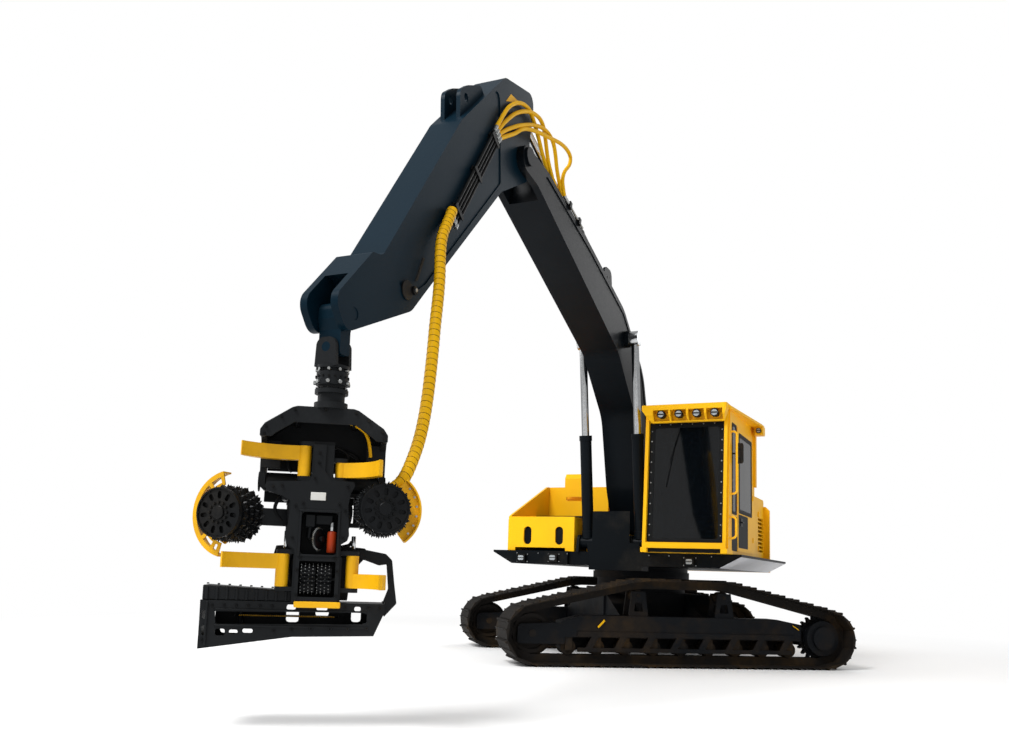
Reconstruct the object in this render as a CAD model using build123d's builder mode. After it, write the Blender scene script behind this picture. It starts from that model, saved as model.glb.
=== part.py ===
from build123d import *
import os
from math import acos, asin, atan2, cos, degrees, hypot, radians, sin, tan

os.makedirs("parts", exist_ok=True)

# A tracked forestry harvester: +Z up, forward is -Y, the machine's left is +X.
# The origin lies on the ground under the swing axis. The upper structure, boom and
# stick lie square to the axes, and the undercarriage and the head are turned as parked.
swing_rest = -53.5
head_turn = 35.0
reach = 7750  # from the swing axis to the head's pins

lower = Plane(
    origin=(0, 0, 0),
    x_dir=(cos(radians(swing_rest)), sin(radians(swing_rest)), 0),
    z_dir=(0, 0, 1),
)
upper = Plane.XY
head = Plane(
    origin=(0, -reach, 0),
    x_dir=(cos(radians(head_turn)), sin(radians(head_turn)), 0),
    z_dir=(0, 0, 1),
)


def side(base, x):
    """Upright plane across the base at x; its X runs to the rear and its Y up."""
    return Plane(base.from_local_coords((x, 0, 0)), x_dir=base.y_dir, z_dir=base.x_dir)


def front(base, y):
    """Upright plane facing forward at y; its X runs to the left and its Y up."""
    return Plane(base.from_local_coords((0, y, 0)), x_dir=base.x_dir, z_dir=base.y_dir * -1)


def level(base, z):
    return base.offset(z)


def slab(plane, outline, thick, mode=Mode.ADD):
    """Closed outline raised from the plane."""
    with BuildSketch(plane) as shape:
        with BuildLine():
            Polyline(*outline, close=True)
        make_face()
    extrude(shape.sketch, amount=thick, mode=mode)


def rounded(plane, outline, thick, mode=Mode.ADD):
    """Closed outline of corners and their radii (x, y, radius), raised from the plane."""
    with BuildSketch(plane) as shape:
        with BuildLine():
            Polyline(*[(x, y) for x, y, radius in outline], close=True)
        make_face()
        for x, y, radius in outline:
            if radius:
                fillet(shape.vertices().sort_by_distance((x, y, 0))[0], radius)
    extrude(shape.sketch, amount=thick, mode=mode)


def round_bar(plane, centre, radius, thick, mode=Mode.ADD):
    with BuildSketch(plane) as shape:
        with Locations(centre):
            Circle(radius)
    extrude(shape.sketch, amount=thick, mode=mode)


def ring(plane, centre, radius, bore, thick):
    with BuildSketch(plane) as shape:
        with Locations(centre):
            Circle(radius)
            Circle(bore, mode=Mode.SUBTRACT)
    extrude(shape.sketch, amount=thick)


def block(base, xs, ys, zs, mode=Mode.ADD):
    """Box between two x, two y and two z values of its base."""
    with BuildSketch(level(base, zs[0])) as shape:
        with Locations(((xs[0] + xs[1]) / 2, (ys[0] + ys[1]) / 2)):
            Rectangle(xs[1] - xs[0], ys[1] - ys[0])
    extrude(shape.sketch, amount=zs[1] - zs[0], mode=mode)


def band(plane, centre, inner, outer, start, sweep, thick, mode=Mode.ADD):
    """Part of a ring between two radii, from a start angle over a sweep, raised from the plane."""
    with BuildSketch(plane) as shape:
        with BuildLine():
            far = CenterArc(centre, outer, start, sweep)
            near = CenterArc(centre, inner, start, sweep)
            Line(far @ 0, near @ 0)
            Line(far @ 1, near @ 1)
        make_face()
    extrude(shape.sketch, amount=thick, mode=mode)


def spread(points, by):
    """Corners of a path (x, y, radius) moved to its left by a distance, its bends kept parallel."""
    moved = []
    for i, (x, y, radius) in enumerate(points):
        ways = []
        if i > 0:
            ways.append(Vector(x - points[i - 1][0], y - points[i - 1][1]).normalized())
        if i < len(points) - 1:
            ways.append(Vector(points[i + 1][0] - x, points[i + 1][1] - y).normalized())
        turn = 0
        if len(ways) == 2:
            turn = ways[0].X * ways[1].Y - ways[0].Y * ways[1].X
        middle = (ways[0] + ways[-1]).normalized()
        reach_out = by / (middle.X * ways[0].X + middle.Y * ways[0].Y)
        grow = -by if turn > 0 else by
        moved.append((x - middle.Y * reach_out, y + middle.X * reach_out, radius + grow if radius else 0))
    return moved


def tube(points, radius, mode=Mode.ADD):
    """Round tube along corners (x, y, z) with the radius of each bend between them."""
    ends = [Vector(*point[:3]) for point in points]
    with BuildLine() as path:
        at = ends[0]
        for i in range(1, len(ends) - 1):
            back = (ends[i - 1] - ends[i]).normalized()
            on = (ends[i + 1] - ends[i]).normalized()
            half = radians(back.get_angle(on)) / 2
            bend = points[i][3]
            run = bend / tan(half)
            middle = (back + on).normalized()
            centre = ends[i] + middle * (bend / sin(half))
            start, stop = ends[i] + back * run, ends[i] + on * run
            Line(at, start)
            ThreePointArc(start, centre - middle * bend, stop)
            at = stop
        Line(at, ends[-1])
    with BuildSketch(Plane(origin=ends[0], z_dir=(ends[1] - ends[0]))) as section:
        Circle(radius)
    sweep(section.sketch, path=path.wires()[0], mode=mode)


# Tracks: end wheels 2 x 1950 apart, run up over two carrier rollers on each side
gauge = 2800
shoe_width = 650
wheel_base = 3901
end_z = 390
pitch_radius = 300
carrier_y = 580
run_top = 1100
shoe_out = 55  # shoe's underside, outward of the pin line
grouser_out = 90
rail_in = 45
carrier_turn = 165
pin_line_low = end_z - pitch_radius
pin_line_top = run_top - grouser_out
arc_z = pin_line_top - carrier_turn
half_base = wheel_base / 2
climb = atan2(arc_z - end_z, half_base - carrier_y) - asin(
    (pitch_radius - carrier_turn) / hypot(arc_z - end_z, half_base - carrier_y)
)
slope = degrees(climb)
with BuildLine() as pin_line:
    a = Line((-half_base, pin_line_low), (half_base, pin_line_low))
    b = CenterArc((half_base, end_z), pitch_radius, -90, 180 - slope)
    c = CenterArc((carrier_y, arc_z), carrier_turn, 90 - slope, slope)
    d = CenterArc((-carrier_y, arc_z), carrier_turn, 90, slope)
    e = CenterArc((-half_base, end_z), pitch_radius, 90 + slope, 180 - slope)
    Line(b @ 1, c @ 0)
    Line(c @ 1, d @ 0)
    Line(d @ 1, e @ 0)
pin_wire = pin_line.wires()[0]
shoe_pitch = 203
shoes = round(pin_wire.length / shoe_pitch)
print("shoes a side:", shoes, "track pitch", round(pin_wire.length / shoes, 1))

# along the shoe in pitches from its middle, outward of the pin line in mm
shoe_shape = [(-0.48, 58), (-0.44, 90), (-0.37, 90), (-0.33, 70), (-0.03, 70), (0.0, 86), (0.05, 70), (0.47, 66)]


def loop_points(shape):
    points = []
    for i in range(shoes):
        for along, out in shape:
            at = ((i + 0.5 + along) / shoes) % 1.0
            spot = pin_wire.position_at(at)
            way = pin_wire.tangent_at(at)
            points.append((spot.X + way.Y * out, spot.Y - way.X * out))
    return points


shoe_outer = loop_points(shoe_shape)
shoe_inner = loop_points([(0.5, shoe_out)])
rail_inner = loop_points([(0.5, -rail_in)])
rail_gap = 35
rail_edge = 85


def track(x):
    with BuildPart() as loop:
        with BuildSketch(side(lower, x - shoe_width / 2)):
            with BuildLine():
                Polyline(*shoe_outer, close=True)
            make_face()
            with BuildLine():
                Polyline(*shoe_inner, close=True)
            make_face(mode=Mode.SUBTRACT)
        extrude(amount=shoe_width)
        for start in (x - rail_edge, x + rail_gap):
            with BuildSketch(side(lower, start)):
                with BuildLine():
                    Polyline(*shoe_inner, close=True)
                make_face()
                with BuildLine():
                    Polyline(*rail_inner, close=True)
                make_face(mode=Mode.SUBTRACT)
            extrude(amount=rail_edge - rail_gap)
    return loop


track_left = track(gauge / 2)
track_left.part.label = "track_left"
export_step(track_left.part, "parts/track_left.step")
track_right = track(-gauge / 2)
track_right.part.label = "track_right"
export_step(track_right.part, "parts/track_right.step")

# Track frames, one long box a side, with the idler's slide housing in front
frame_half = 140
frame_low = 350
frame_top = 620
rail_low = pin_line_low + rail_in
seat = 0.3  # what turns or slides lies this far from what it meets
roller_radius = 95
roller_z = rail_low + roller_radius + seat
roller_count = 9
roller_step = 372
idler_radius = 240
# the idler is dished on both sides between its hub and its rim
dish_out = 195
dish_in = 90
dish_deep = 30


def ring_cut(plane, centre, radius, bore, thick):
    with BuildSketch(plane) as shape:
        with Locations(centre):
            Circle(radius)
            Circle(bore, mode=Mode.SUBTRACT)
    extrude(shape.sketch, amount=thick, mode=Mode.SUBTRACT)


with BuildPart() as track_frames:
    for s in (-1, 1):
        x = s * gauge / 2
        rounded(
            side(lower, x - frame_half),
            [(-1600, frame_low, 20), (1640, frame_low, 20), (1640, 560, 40), (1300, frame_top, 60), (-1300, frame_top, 60), (-1600, 540, 40)],
            2 * frame_half,
        )
        for y in (-carrier_y, carrier_y):
            for at in (x - 120, x + 90):
                slab(
                    side(lower, at),
                    [(y - 130, frame_top - 5), (y + 130, frame_top - 5), (y + 90, 930), (y - 90, 930)],
                    30,
                )
                rounded(
                    side(lower, at),
                    [(y - 62, 680, 15), (y + 62, 680, 15), (y + 45, 790, 15), (y - 45, 790, 15)],
                    30,
                    Mode.SUBTRACT,
                )
                round_bar(side(lower, at), (y, 880), 25 + seat, 30, Mode.SUBTRACT)
        # cheeks that hold the idler's axle
        for at in (x - frame_half, x + frame_half - 35):
            rounded(
                side(lower, at),
                [(-2140, 265, 40), (-1540, 265, 20), (-1540, 530, 20), (-2140, 500, 60)],
                35,
            )
            round_bar(side(lower, at), (-half_base, end_z), 45 + seat, 35, Mode.SUBTRACT)
        # plate on the inner side that carries the drive
        inner = x - 200 if s > 0 else x + 150
        rounded(
            side(lower, inner),
            [(1560, 300, 20), (2120, 250, 135), (2120, 530, 135), (1560, 560, 20)],
            50,
        )
        block(lower, sorted((x - s * 160, x - s * 100)), (1560, 1640), (frame_low + 10, 540))
track_frames.part.label = "track_frames"
export_step(track_frames.part, "parts/track_frames.step")

with BuildPart() as lower_rollers:
    for s in (-1, 1):
        x = s * gauge / 2
        for i in range(roller_count):
            y = (i - (roller_count - 1) / 2) * roller_step
            round_bar(side(lower, x - 100), (y, roller_z), roller_radius, 200)
            for at in (x - 130, x + 100):
                block(lower, (at, at + 30), (y - 45, y + 45), (roller_z - 40, frame_low))
lower_rollers.part.label = "lower_rollers"
export_step(lower_rollers.part, "parts/lower_rollers.step")

with BuildPart() as carrier_rollers:
    for s in (-1, 1):
        x = s * gauge / 2
        for y in (-carrier_y, carrier_y):
            round_bar(side(lower, x - 88), (y, 880), 72, 176)
            round_bar(side(lower, x - 125), (y, 880), 25, 250)
carrier_rollers.part.label = "carrier_rollers"
export_step(carrier_rollers.part, "parts/carrier_rollers.step")

with BuildPart() as idlers:
    for s in (-1, 1):
        x = s * gauge / 2
        round_bar(side(lower, x - rail_edge), (-half_base, end_z), idler_radius, 2 * rail_edge)
        round_bar(side(lower, x - rail_gap + 6), (-half_base, end_z), idler_radius + 40, 2 * (rail_gap - 6))
        round_bar(side(lower, x - 145), (-half_base, end_z), 45, 290)
        for at in (x - rail_edge, x + rail_edge - dish_deep):
            ring_cut(side(lower, at), (-half_base, end_z), dish_out, dish_in, dish_deep)
idlers.part.label = "idlers"
export_step(idlers.part, "parts/idlers.step")

hub_radius = 225
teeth = 21
with BuildPart() as final_drives:
    for s in (-1, 1):
        x = s * gauge / 2
        # inward end, outward end and radius of each step of the drive
        for near, far, r in ((-150, -40, 190), (-40, 60, 235), (60, 150, hub_radius), (150, 190, 150)):
            ends = sorted((x + s * near, x + s * far))
            round_bar(side(lower, ends[0]), (half_base, end_z), r, ends[1] - ends[0])
        outline = []
        for i in range(teeth):
            for turn, r in ((-0.30, 250), (-0.12, 300), (0.12, 300), (0.30, 250)):
                angle = radians((i + turn) * 360 / teeth)
                outline.append((half_base + r * cos(angle), end_z + r * sin(angle)))
        slab(side(lower, x - rail_gap + 6), outline, 2 * (rail_gap - 6))
final_drives.part.label = "final_drives"
export_step(final_drives.part, "parts/final_drives.step")

# Guards bolted on both sides of the lower rollers: a bottom rail hung on slanted ribs
guard_thick = 18
with BuildPart() as roller_guards:
    for s in (-1, 1):
        x = s * gauge / 2
        for at in (x - frame_half - guard_thick, x + frame_half):
            slab(side(lower, at), [(-1380, 360), (1540, 360), (1540, 420), (-1380, 420)], guard_thick)
            slab(side(lower, at), [(-1380, 175), (1500, 175), (1500, 225), (-1380, 225)], guard_thick)
            for i in range(roller_count):
                y = (i - (roller_count - 1) / 2) * roller_step - 10
                if -1380 < y - 150 and y + 20 < 1500:
                    slab(
                        side(lower, at),
                        [(y - 150, 220), (y - 60, 220), (y + 20, 365), (y - 70, 365)],
                        guard_thick,
                    )
roller_guards.part.label = "roller_guards"
export_step(roller_guards.part, "parts/roller_guards.step")

# Carbody: a drum under the swing bearing, with two bent legs out to the track frames
bearing_radius = 680
bearing_low = 1100
bearing_high = 90
deck_low = 1250
deck_top = 1425
leg_in = 640
leg_out = gauge / 2 - frame_half - 0.0
with BuildPart() as carbody:
    round_bar(level(lower, 520), (0, 0), 620, bearing_low - 520)
    block(lower, (-leg_in, leg_in), (-760, 760), (520, 900))
    for y in (-560, 560):
        slab(
            front(lower, y - 170),
            [
                (-leg_out, 430), (-leg_in, 470), (leg_in, 470), (leg_out, 430),
                (leg_out, 610), (leg_in, 880), (-leg_in, 880), (-leg_out, 610),
            ],
            -340,
        )
carbody.part.label = "carbody"
export_step(carbody.part, "parts/carbody.step")

with BuildPart() as swing_bearing:
    ring(level(lower, bearing_low), (0, 0), bearing_radius, 520, bearing_high)
swing_bearing.part.label = "swing_bearing"
export_step(swing_bearing.part, "parts/swing_bearing.step")

# Deck, with the boom's and the rams' ears and a deeper middle at its front
deck_half = 1413
deck_edge = 1690
deck_front = -1401
deck_rear = 2300
ring_top = bearing_low + bearing_high
foot_y = -450
foot_z = 1850
ear_in = 246
ear_out = 306
ram_x = 360
ram_foot = (-1250, 1550)
front_ears = 35
with BuildPart() as deck:
    slab(
        front(upper, deck_front),
        [
            (-deck_half, deck_low), (deck_half, deck_low), (deck_edge, deck_top - 25),
            (deck_edge, deck_top), (-deck_edge, deck_top), (-deck_edge, deck_top - 25),
        ],
        deck_front - deck_rear,
    )
    round_bar(level(upper, ring_top + seat), (0, 0), 660, deck_low - ring_top)
    block(upper, (-295, 424), (deck_front - 7, -1100), (ring_top + seat, deck_low + 20))
    block(upper, (-600, -300), (deck_front - 1, deck_front + 60), (deck_low - 1, deck_top + 1), Mode.SUBTRACT)
    for s in (-1, 1):
        a, b = sorted((s * ear_in, s * ear_out))
        rounded(
            side(upper, a),
            [(-1000, deck_top - 5, 0), (190, deck_top - 5, 0), (foot_y + 200, foot_z + 170, 120), (foot_y - 170, foot_z + 170, 120)],
            b - a,
        )
        round_bar(side(upper, a), (foot_y, foot_z), 50 + seat, b - a, Mode.SUBTRACT)
        for near in (ram_x - 90 - front_ears, ram_x + 90):
            a, b = sorted((s * near, s * (near + front_ears)))
            y, z = ram_foot
            rounded(
                side(upper, a),
                [(y - 140, deck_top - 5, 0), (y + 190, deck_top - 5, 0), (y + 100, z + 100, 70), (y - 100, z + 100, 70)],
                b - a,
            )
            round_bar(side(upper, a), ram_foot, 45 + seat, b - a, Mode.SUBTRACT)
deck.part.label = "deck"
export_step(deck.part, "parts/deck.step")

weight_half = 1440
weight_top = 2300
with BuildPart() as counterweight:
    with BuildSketch(level(upper, deck_low)) as shape:
        with BuildLine():
            Polyline((-weight_half, 2430), (-weight_half, deck_rear), (weight_half, deck_rear), (weight_half, 2430))
            ThreePointArc((weight_half, 2430), (0, 2800), (-weight_half, 2430))
        make_face()
        fillet(shape.vertices().group_by(Axis.Y)[1], 120)
    extrude(shape.sketch, amount=weight_top - deck_low)
    chamfer(counterweight.faces().sort_by(Axis.Z)[-1].edges().filter_by(lambda e: e.center().Y > deck_rear + 5), 60)
counterweight.part.label = "counterweight"
export_step(counterweight.part, "parts/counterweight.step")

# Engine house: a sheet shell with a round front edge, doors on both sides, a hood on top
house_left = 1350
house_right = -1480
house_front = 200
house_top = 2400
house_round = 300
wall = 30
door_low = 1500
door_high = 2230
door_front = 300
door_rear = 1570
door_lap = 30
hood_half = 700
hood_front = 520
hood_rear = 1900
hood_lap = 30
louvre_low = 1560
louvre_high = 2090
louvre_front = 1690
louvre_rear = 2240
with BuildPart() as engine_house:
    rounded(
        side(upper, house_right),
        [(house_front, deck_top, 0), (deck_rear, deck_top, 0), (deck_rear, house_top, 60), (house_front, house_top, house_round)],
        house_left - house_right,
    )
    rounded(
        side(upper, house_right + wall),
        [
            (house_front + wall, deck_top + wall, 0), (deck_rear - wall, deck_top + wall, 0),
            (deck_rear - wall, house_top - wall, 30), (house_front + wall, house_top - wall, house_round - wall),
        ],
        house_left - house_right - 2 * wall,
        Mode.SUBTRACT,
    )
    for near in (house_left - wall - 1, house_right - 1):
        block(upper, (near, near + wall + 2), (door_front, door_rear), (door_low, door_high), Mode.SUBTRACT)
        block(upper, (near, near + wall + 2), (louvre_front, louvre_rear), (louvre_low, louvre_high), Mode.SUBTRACT)
    block(upper, (-hood_half, hood_half), (hood_front, hood_rear), (house_top - wall - 1, house_top + 1), Mode.SUBTRACT)
    # louvre blades, each tipped down to the outside
    for near, tip in ((house_left - wall, 1), (house_right + wall, -1)):
        for i in range(8):
            z = louvre_low + 45 + i * 62
            slab(
                front(upper, louvre_front - 1),
                [(near, z + 12), (near, z + 24), (near + tip * (wall - 4), z), (near + tip * (wall - 4), z - 12)],
                louvre_front - louvre_rear - 2,
            )
    # slot in the front wall behind the tray
    block(upper, (-1190, -880), (house_front - 1, house_front + wall + 1), (2040, 2090), Mode.SUBTRACT)
engine_house.part.label = "engine_house"
export_step(engine_house.part, "parts/engine_house.step")

hinge_out = 6  # hinge axes lie this far out from the corner of their door
barrel = 10
for name, a, b in (("door_left", house_left + seat, house_left + 30), ("door_right", house_right - 30, house_right - seat)):
    with BuildPart() as door:
        rounded(
            side(upper, a),
            [
                (door_front - door_lap, door_low - door_lap, 30), (door_rear + door_lap, door_low - door_lap, 30),
                (door_rear + door_lap, door_high + door_lap, 30), (door_front - door_lap, door_high + door_lap, 170),
            ],
            b - a,
        )
        for low in (door_low + 60, door_high - 140):
            round_bar(level(upper, low), ((b + hinge_out if a > 0 else a - hinge_out), door_rear + door_lap + hinge_out), barrel, 80)
    door.part.label = name
    export_step(door.part, "parts/" + name + ".step")

hood_thick = 60
with BuildPart() as engine_hood:
    with BuildSketch(level(upper, house_top + seat)) as shape:
        with Locations((0, (hood_front + hood_rear) / 2)):
            RectangleRounded(2 * (hood_half + hood_lap), hood_rear - hood_front + 2 * hood_lap, 60)
    extrude(shape.sketch, amount=hood_thick - seat)
    # raised middle over the engine's cooler
    rounded(
        side(upper, -420),
        [(760, house_top + hood_thick - 2, 0), (1640, house_top + hood_thick - 2, 0), (1640, house_top + 150, 50), (900, house_top + 150, 60)],
        840,
    )
    for x in (-500, 420):
        round_bar(side(upper, x), (hood_rear + hood_lap + hinge_out, house_top + hood_thick + hinge_out), barrel, 80)
engine_hood.part.label = "engine_hood"
export_step(engine_hood.part, "parts/engine_hood.step")

with BuildPart() as engine:
    block(upper, (-650, 600), (800, 1600), (deck_top + wall, 2200))
engine.part.label = "engine"
export_step(engine.part, "parts/engine.step")

with BuildPart() as exhaust:
    round_bar(level(upper, house_top), (950, 1720), 75, 230)
    round_bar(level(upper, house_top + 225), (950, 1720), 50, 120)
exhaust.part.label = "exhaust"
export_step(exhaust.part, "parts/exhaust.step")

# Tray on the right: a box in front, a platform on the tank, a wall along the outside
tray_right = -1500
tray_left = -530
tray_front = -1350
tray_rear = -430
tray_top = 1888
sheet = 30
platform = 1960
back_y = 60
with BuildPart() as tank:
    block(upper, (tray_right + sheet + seat, tray_left - 10), (tray_rear + seat, back_y - seat), (deck_top, platform))
tank.part.label = "tank"
export_step(tank.part, "parts/tank.step")

with BuildPart() as tray_box:
    rounded(
        side(upper, tray_right),
        [
            (tray_front, deck_top, 0), (house_front - 10, deck_top, 0), (house_front - 10, 2425, 50),
            (back_y - 60, 2425, 90), (tray_front + 20, tray_top + 10, 60), (tray_front, tray_top - 60, 30),
        ],
        sheet,
    )
    block(upper, (tray_right + 5, tray_left), (tray_front, tray_front + sheet), (deck_top, tray_top))
    block(upper, (tray_left - sheet, tray_left), (tray_front + 5, tray_rear), (deck_top, tray_top))
    block(upper, (tray_right + 5, tray_left), (tray_rear - sheet, tray_rear), (deck_top + 45, tray_top))
    block(upper, (tray_right + 5, tray_left), (tray_front + 5, tray_rear), (deck_top + 45, deck_top + 75))
    # wall behind the platform, and the slanted housing above it
    block(upper, (tray_right + 5, tray_left), (back_y, back_y + sheet), (deck_top, 2425))
    rounded(
        side(upper, -1222),
        [(back_y + 5, 2420, 0), (house_front - 12, 2420, 0), (house_front - 12, 2630, 10), (back_y + 60, 2630, 10), (back_y + 5, 2560, 10)],
        350,
    )
    # the front's two oval ports and the low gap between its feet
    with BuildSketch(front(upper, tray_front + sheet + 1)) as shape:
        for x in (-1208, -746):
            with Locations((x, 1632)):
                SlotOverall(245, 114, rotation=90)
    extrude(shape.sketch, amount=sheet + 2, mode=Mode.SUBTRACT)
    block(upper, (-1390, -656), (tray_front - 1, tray_front + sheet + 1), (deck_top - 1, deck_top + 45), Mode.SUBTRACT)
    # slot through the wall behind the platform
    with BuildSketch(front(upper, back_y + sheet + 1)) as shape:
        with Locations((-1040, 2250)):
            RectangleRounded(310, 60, 20)
    extrude(shape.sketch, amount=sheet + 2, mode=Mode.SUBTRACT)
tray_box.part.label = "tray_box"
export_step(tray_box.part, "parts/tray_box.step")

# Cover in front of the rams' feet, wide at its foot and narrow above, so that the rams
# swing past it
panel_thick = 10
panel_top = 1958
panel_step = 1545
with BuildPart() as centre_panel:
    rounded(
        front(upper, ram_foot[0] - 141),
        [
            (-320, deck_top, 0), (386, deck_top, 0), (386, panel_step, 15), (ram_x - 105, panel_step, 15),
            (ram_x - 105, panel_top, 15), (105 - ram_x, panel_top, 15), (105 - ram_x, panel_step, 15), (-320, panel_step, 15),
        ],
        panel_thick,
    )
centre_panel.part.label = "centre_panel"
export_step(centre_panel.part, "parts/centre_panel.step")

# Cab, hollow, with its windows cut; the front leans back
cab_x = 1040
cab_half = 540
cab_front = -1676
cab_back = 144
cab_top = 3278
roof_thick = 60
cab_lean = 139
post = 80
cavity = cab_half - post
sill = deck_top + 60
roof_low = cab_top - roof_thick
head_rail = roof_low - 80
window_top = 3050
window_low = 1950
front_sill = 1605
rear_sill = 2300
door_z = (sill, window_top)
door_y = (-1100, -60)


def front_face(z):
    return cab_front + cab_lean * (z - deck_top) / (roof_low - deck_top)


def inner_face(z):
    return cab_front + post + cab_lean * (z - sill) / (head_rail - sill)


with BuildPart() as cab:
    slab(
        side(upper, cab_x - cab_half),
        [(cab_front, deck_top), (cab_back, deck_top), (cab_back, roof_low), (cab_front + cab_lean, roof_low)],
        2 * cab_half,
    )
    slab(
        side(upper, cab_x - cavity),
        [(inner_face(sill), sill), (cab_back - post, sill), (cab_back - post, head_rail), (inner_face(head_rail), head_rail)],
        2 * cavity,
        Mode.SUBTRACT,
    )
    # windows: x from and to, y from and to, z from and to
    left, right = cab_x + cab_half, cab_x - cab_half
    for xs, ys, zs in (
        ((cab_x - cavity, cab_x + cavity), (cab_front - 50, cab_front + 300), (front_sill, window_top)),
        ((right - 10, right + post + 10), (-1350, -60), (window_low, window_top)),
        ((cab_x - 380, cab_x + 380), (cab_back - post - 10, cab_back + 10), (rear_sill, window_top)),
        ((left - post - 10, left + 10), door_y, door_z),
        ((left - post - 10, left + 10), (-1420, -1180), (window_low, window_top)),
    ):
        block(upper, xs, ys, zs, Mode.SUBTRACT)
cab.part.label = "cab"
export_step(cab.part, "parts/cab.step")

# Roof with a hanging visor in front, open below each of its four lamps, and an eyebrow
# along the left side that carries a fifth lamp
visor_front = cab_front - 90
visor_back = front_face(3064) - 64
lamp_xs = (750, 975, 1200, 1425)
lamp_z = 3158
with BuildPart() as cab_roof:
    with BuildSketch(level(upper, roof_low)) as shape:
        with Locations((cab_x, (visor_front + cab_back) / 2)):
            RectangleRounded(2 * cab_half, cab_back - visor_front, 30)
    extrude(shape.sketch, amount=roof_thick)
    slab(front(upper, visor_front), [(612, 3064), (1532, 3064), (1576, roof_low + 1), (504, roof_low + 1)], visor_front - visor_back)
    slab(
        side(upper, 490),
        [(visor_front - 1, 3060), (visor_front + 100, 3060), (visor_front - 1, 3150)],
        1100,
        Mode.SUBTRACT,
    )
    for x in lamp_xs:
        block(upper, (x - 100, x + 100), (visor_front - 1, visor_back - 25), (3080, roof_low - 6), Mode.SUBTRACT)
    with BuildSketch(level(upper, roof_low + 5)) as shape:
        with BuildLine():
            Polyline((left - 5, -1680), (left + 30, -1600), (left + 150, -110), (left + 150, 90), (left - 5, 90), close=True)
        make_face()
    extrude(shape.sketch, amount=30)
    rounded(
        side(upper, left + 50),
        [(-110, roof_low - 110, 30), (80, roof_low - 110, 30), (80, roof_low + 10, 0), (-110, roof_low + 10, 0)],
        110,
    )
    round_bar(front(upper, -111), (left + 105, roof_low - 52), 38, -18, Mode.SUBTRACT)
cab_roof.part.label = "cab_roof"
export_step(cab_roof.part, "parts/cab_roof.step")

# Lamps: four under the visor, one on the eyebrow, three on the deck's front edge
with BuildPart() as lamps:
    for x in lamp_xs:
        round_bar(front(upper, visor_back - 25 - seat), (x, lamp_z), 42, 70)
        round_bar(front(upper, visor_back - 25 - 60), (x, lamp_z), 50, 45)
    round_bar(front(upper, -93 - seat), (left + 105, roof_low - 52), 37, 30)
    for x, z in ((-1251, 1324), (-792, 1334), (1049, 1323)):
        with BuildSketch(front(upper, deck_front - seat)) as shape:
            with Locations((x, z)):
                RectangleRounded(118, 100, 14)
        extrude(shape.sketch, amount=55)
lamps.part.label = "lamps"
export_step(lamps.part, "parts/lamps.step")

door_skin = 8
door_inset = 6
pane_y = (-1010, -150)
pane_z = (2000, 2960)
with BuildPart() as cab_door:
    ys = (door_y[0] + door_inset, door_y[1] - door_inset)
    zs = (door_z[0] + door_inset, door_z[1] - door_inset)
    block(upper, (left - 50, left + door_skin), ys, zs)
    block(upper, (left + seat, left + door_skin), (ys[0] - 21, ys[1] + 15), (zs[0] - 21, zs[1] + 21))
    block(upper, (left - 60, left + 10), pane_y, pane_z, Mode.SUBTRACT)
    for low in (1620, 2200, 2900):
        round_bar(level(upper, low), (left + 12, -45), 8, 70)
cab_door.part.label = "cab_door"
export_step(cab_door.part, "parts/cab_door.step")

# Grab handles bent from tube and a mirror, all on the cab's left front post
grip_radius = 14
with BuildPart() as cab_handles:
    for y, low, high in ((-1490, 2170, 2950), (-1540, 1620, 1880)):
        tube([(left, y, high, 0), (left + 70, y, high, 45), (left + 70, y, low, 45), (left, y, low, 0)], grip_radius)
    with BuildSketch(front(upper, -1290)) as shape:
        with Locations((left + 70, 2700)):
            RectangleRounded(90, 260, 25)
    extrude(shape.sketch, amount=-30)
    tube([(left, -1275, 2700, 0), (left + 40, -1275, 2700, 0)], 10)
cab_handles.part.label = "cab_handles"
export_step(cab_handles.part, "parts/cab_handles.step")

with BuildPart() as seat_piece:
    rounded(side(upper, cab_x - 180), [(-700, sill, 0), (-300, sill, 0), (-340, 1790, 30), (-660, 1790, 30)], 360)
    rounded(
        side(upper, cab_x - 250),
        [(-780, 1785, 50), (-240, 1785, 50), (-110, 2680, 40), (-220, 2680, 40), (-350, 1940, 60), (-780, 1940, 60)],
        500,
    )
    for s in (-1, 1):
        a = min(cab_x + s * 275, cab_x + s * 375)
        rounded(side(upper, a), [(-1000, 1900, 30), (-400, 1900, 30), (-400, 2080, 30), (-1000, 2040, 30)], 100)
        a = min(cab_x + s * 245, cab_x + s * 280)
        block(upper, (a, a + 35), (-600, -450), (1900, 1935))
seat_piece.part.label = "seat"
export_step(seat_piece.part, "parts/seat.step")

# Guard frame in front of the cab, on two feet, and a guard post at its rear left corner
guard_low = 1480
guard_high = roof_low - 10
guard_deep = 60
with BuildPart() as cab_guard:
    foot_back = front_face(guard_low) - seat
    top_back = front_face(guard_high) - seat
    for x in (cab_x - cab_half + 20, cab_x + cab_half - 60):
        slab(
            side(upper, x),
            [(foot_back - guard_deep, guard_low), (foot_back, guard_low), (top_back, guard_high), (top_back - guard_deep, guard_high)],
            40,
        )
        slab(side(upper, x - 20), [(foot_back - 70, deck_top), (foot_back - 8, deck_top), (foot_back - 8, guard_low + 5), (foot_back - 70, guard_low + 5)], 80)
    block(upper, (cab_x - cab_half + 20, cab_x + cab_half - 20), (foot_back - guard_deep, foot_back - 10), (guard_low, guard_low + 70))
    block(upper, (left + seat, left + 35), (40, 130), (2400, roof_low + 5 - seat))
cab_guard.part.label = "cab_guard"
export_step(cab_guard.part, "parts/cab_guard.step")

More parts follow.
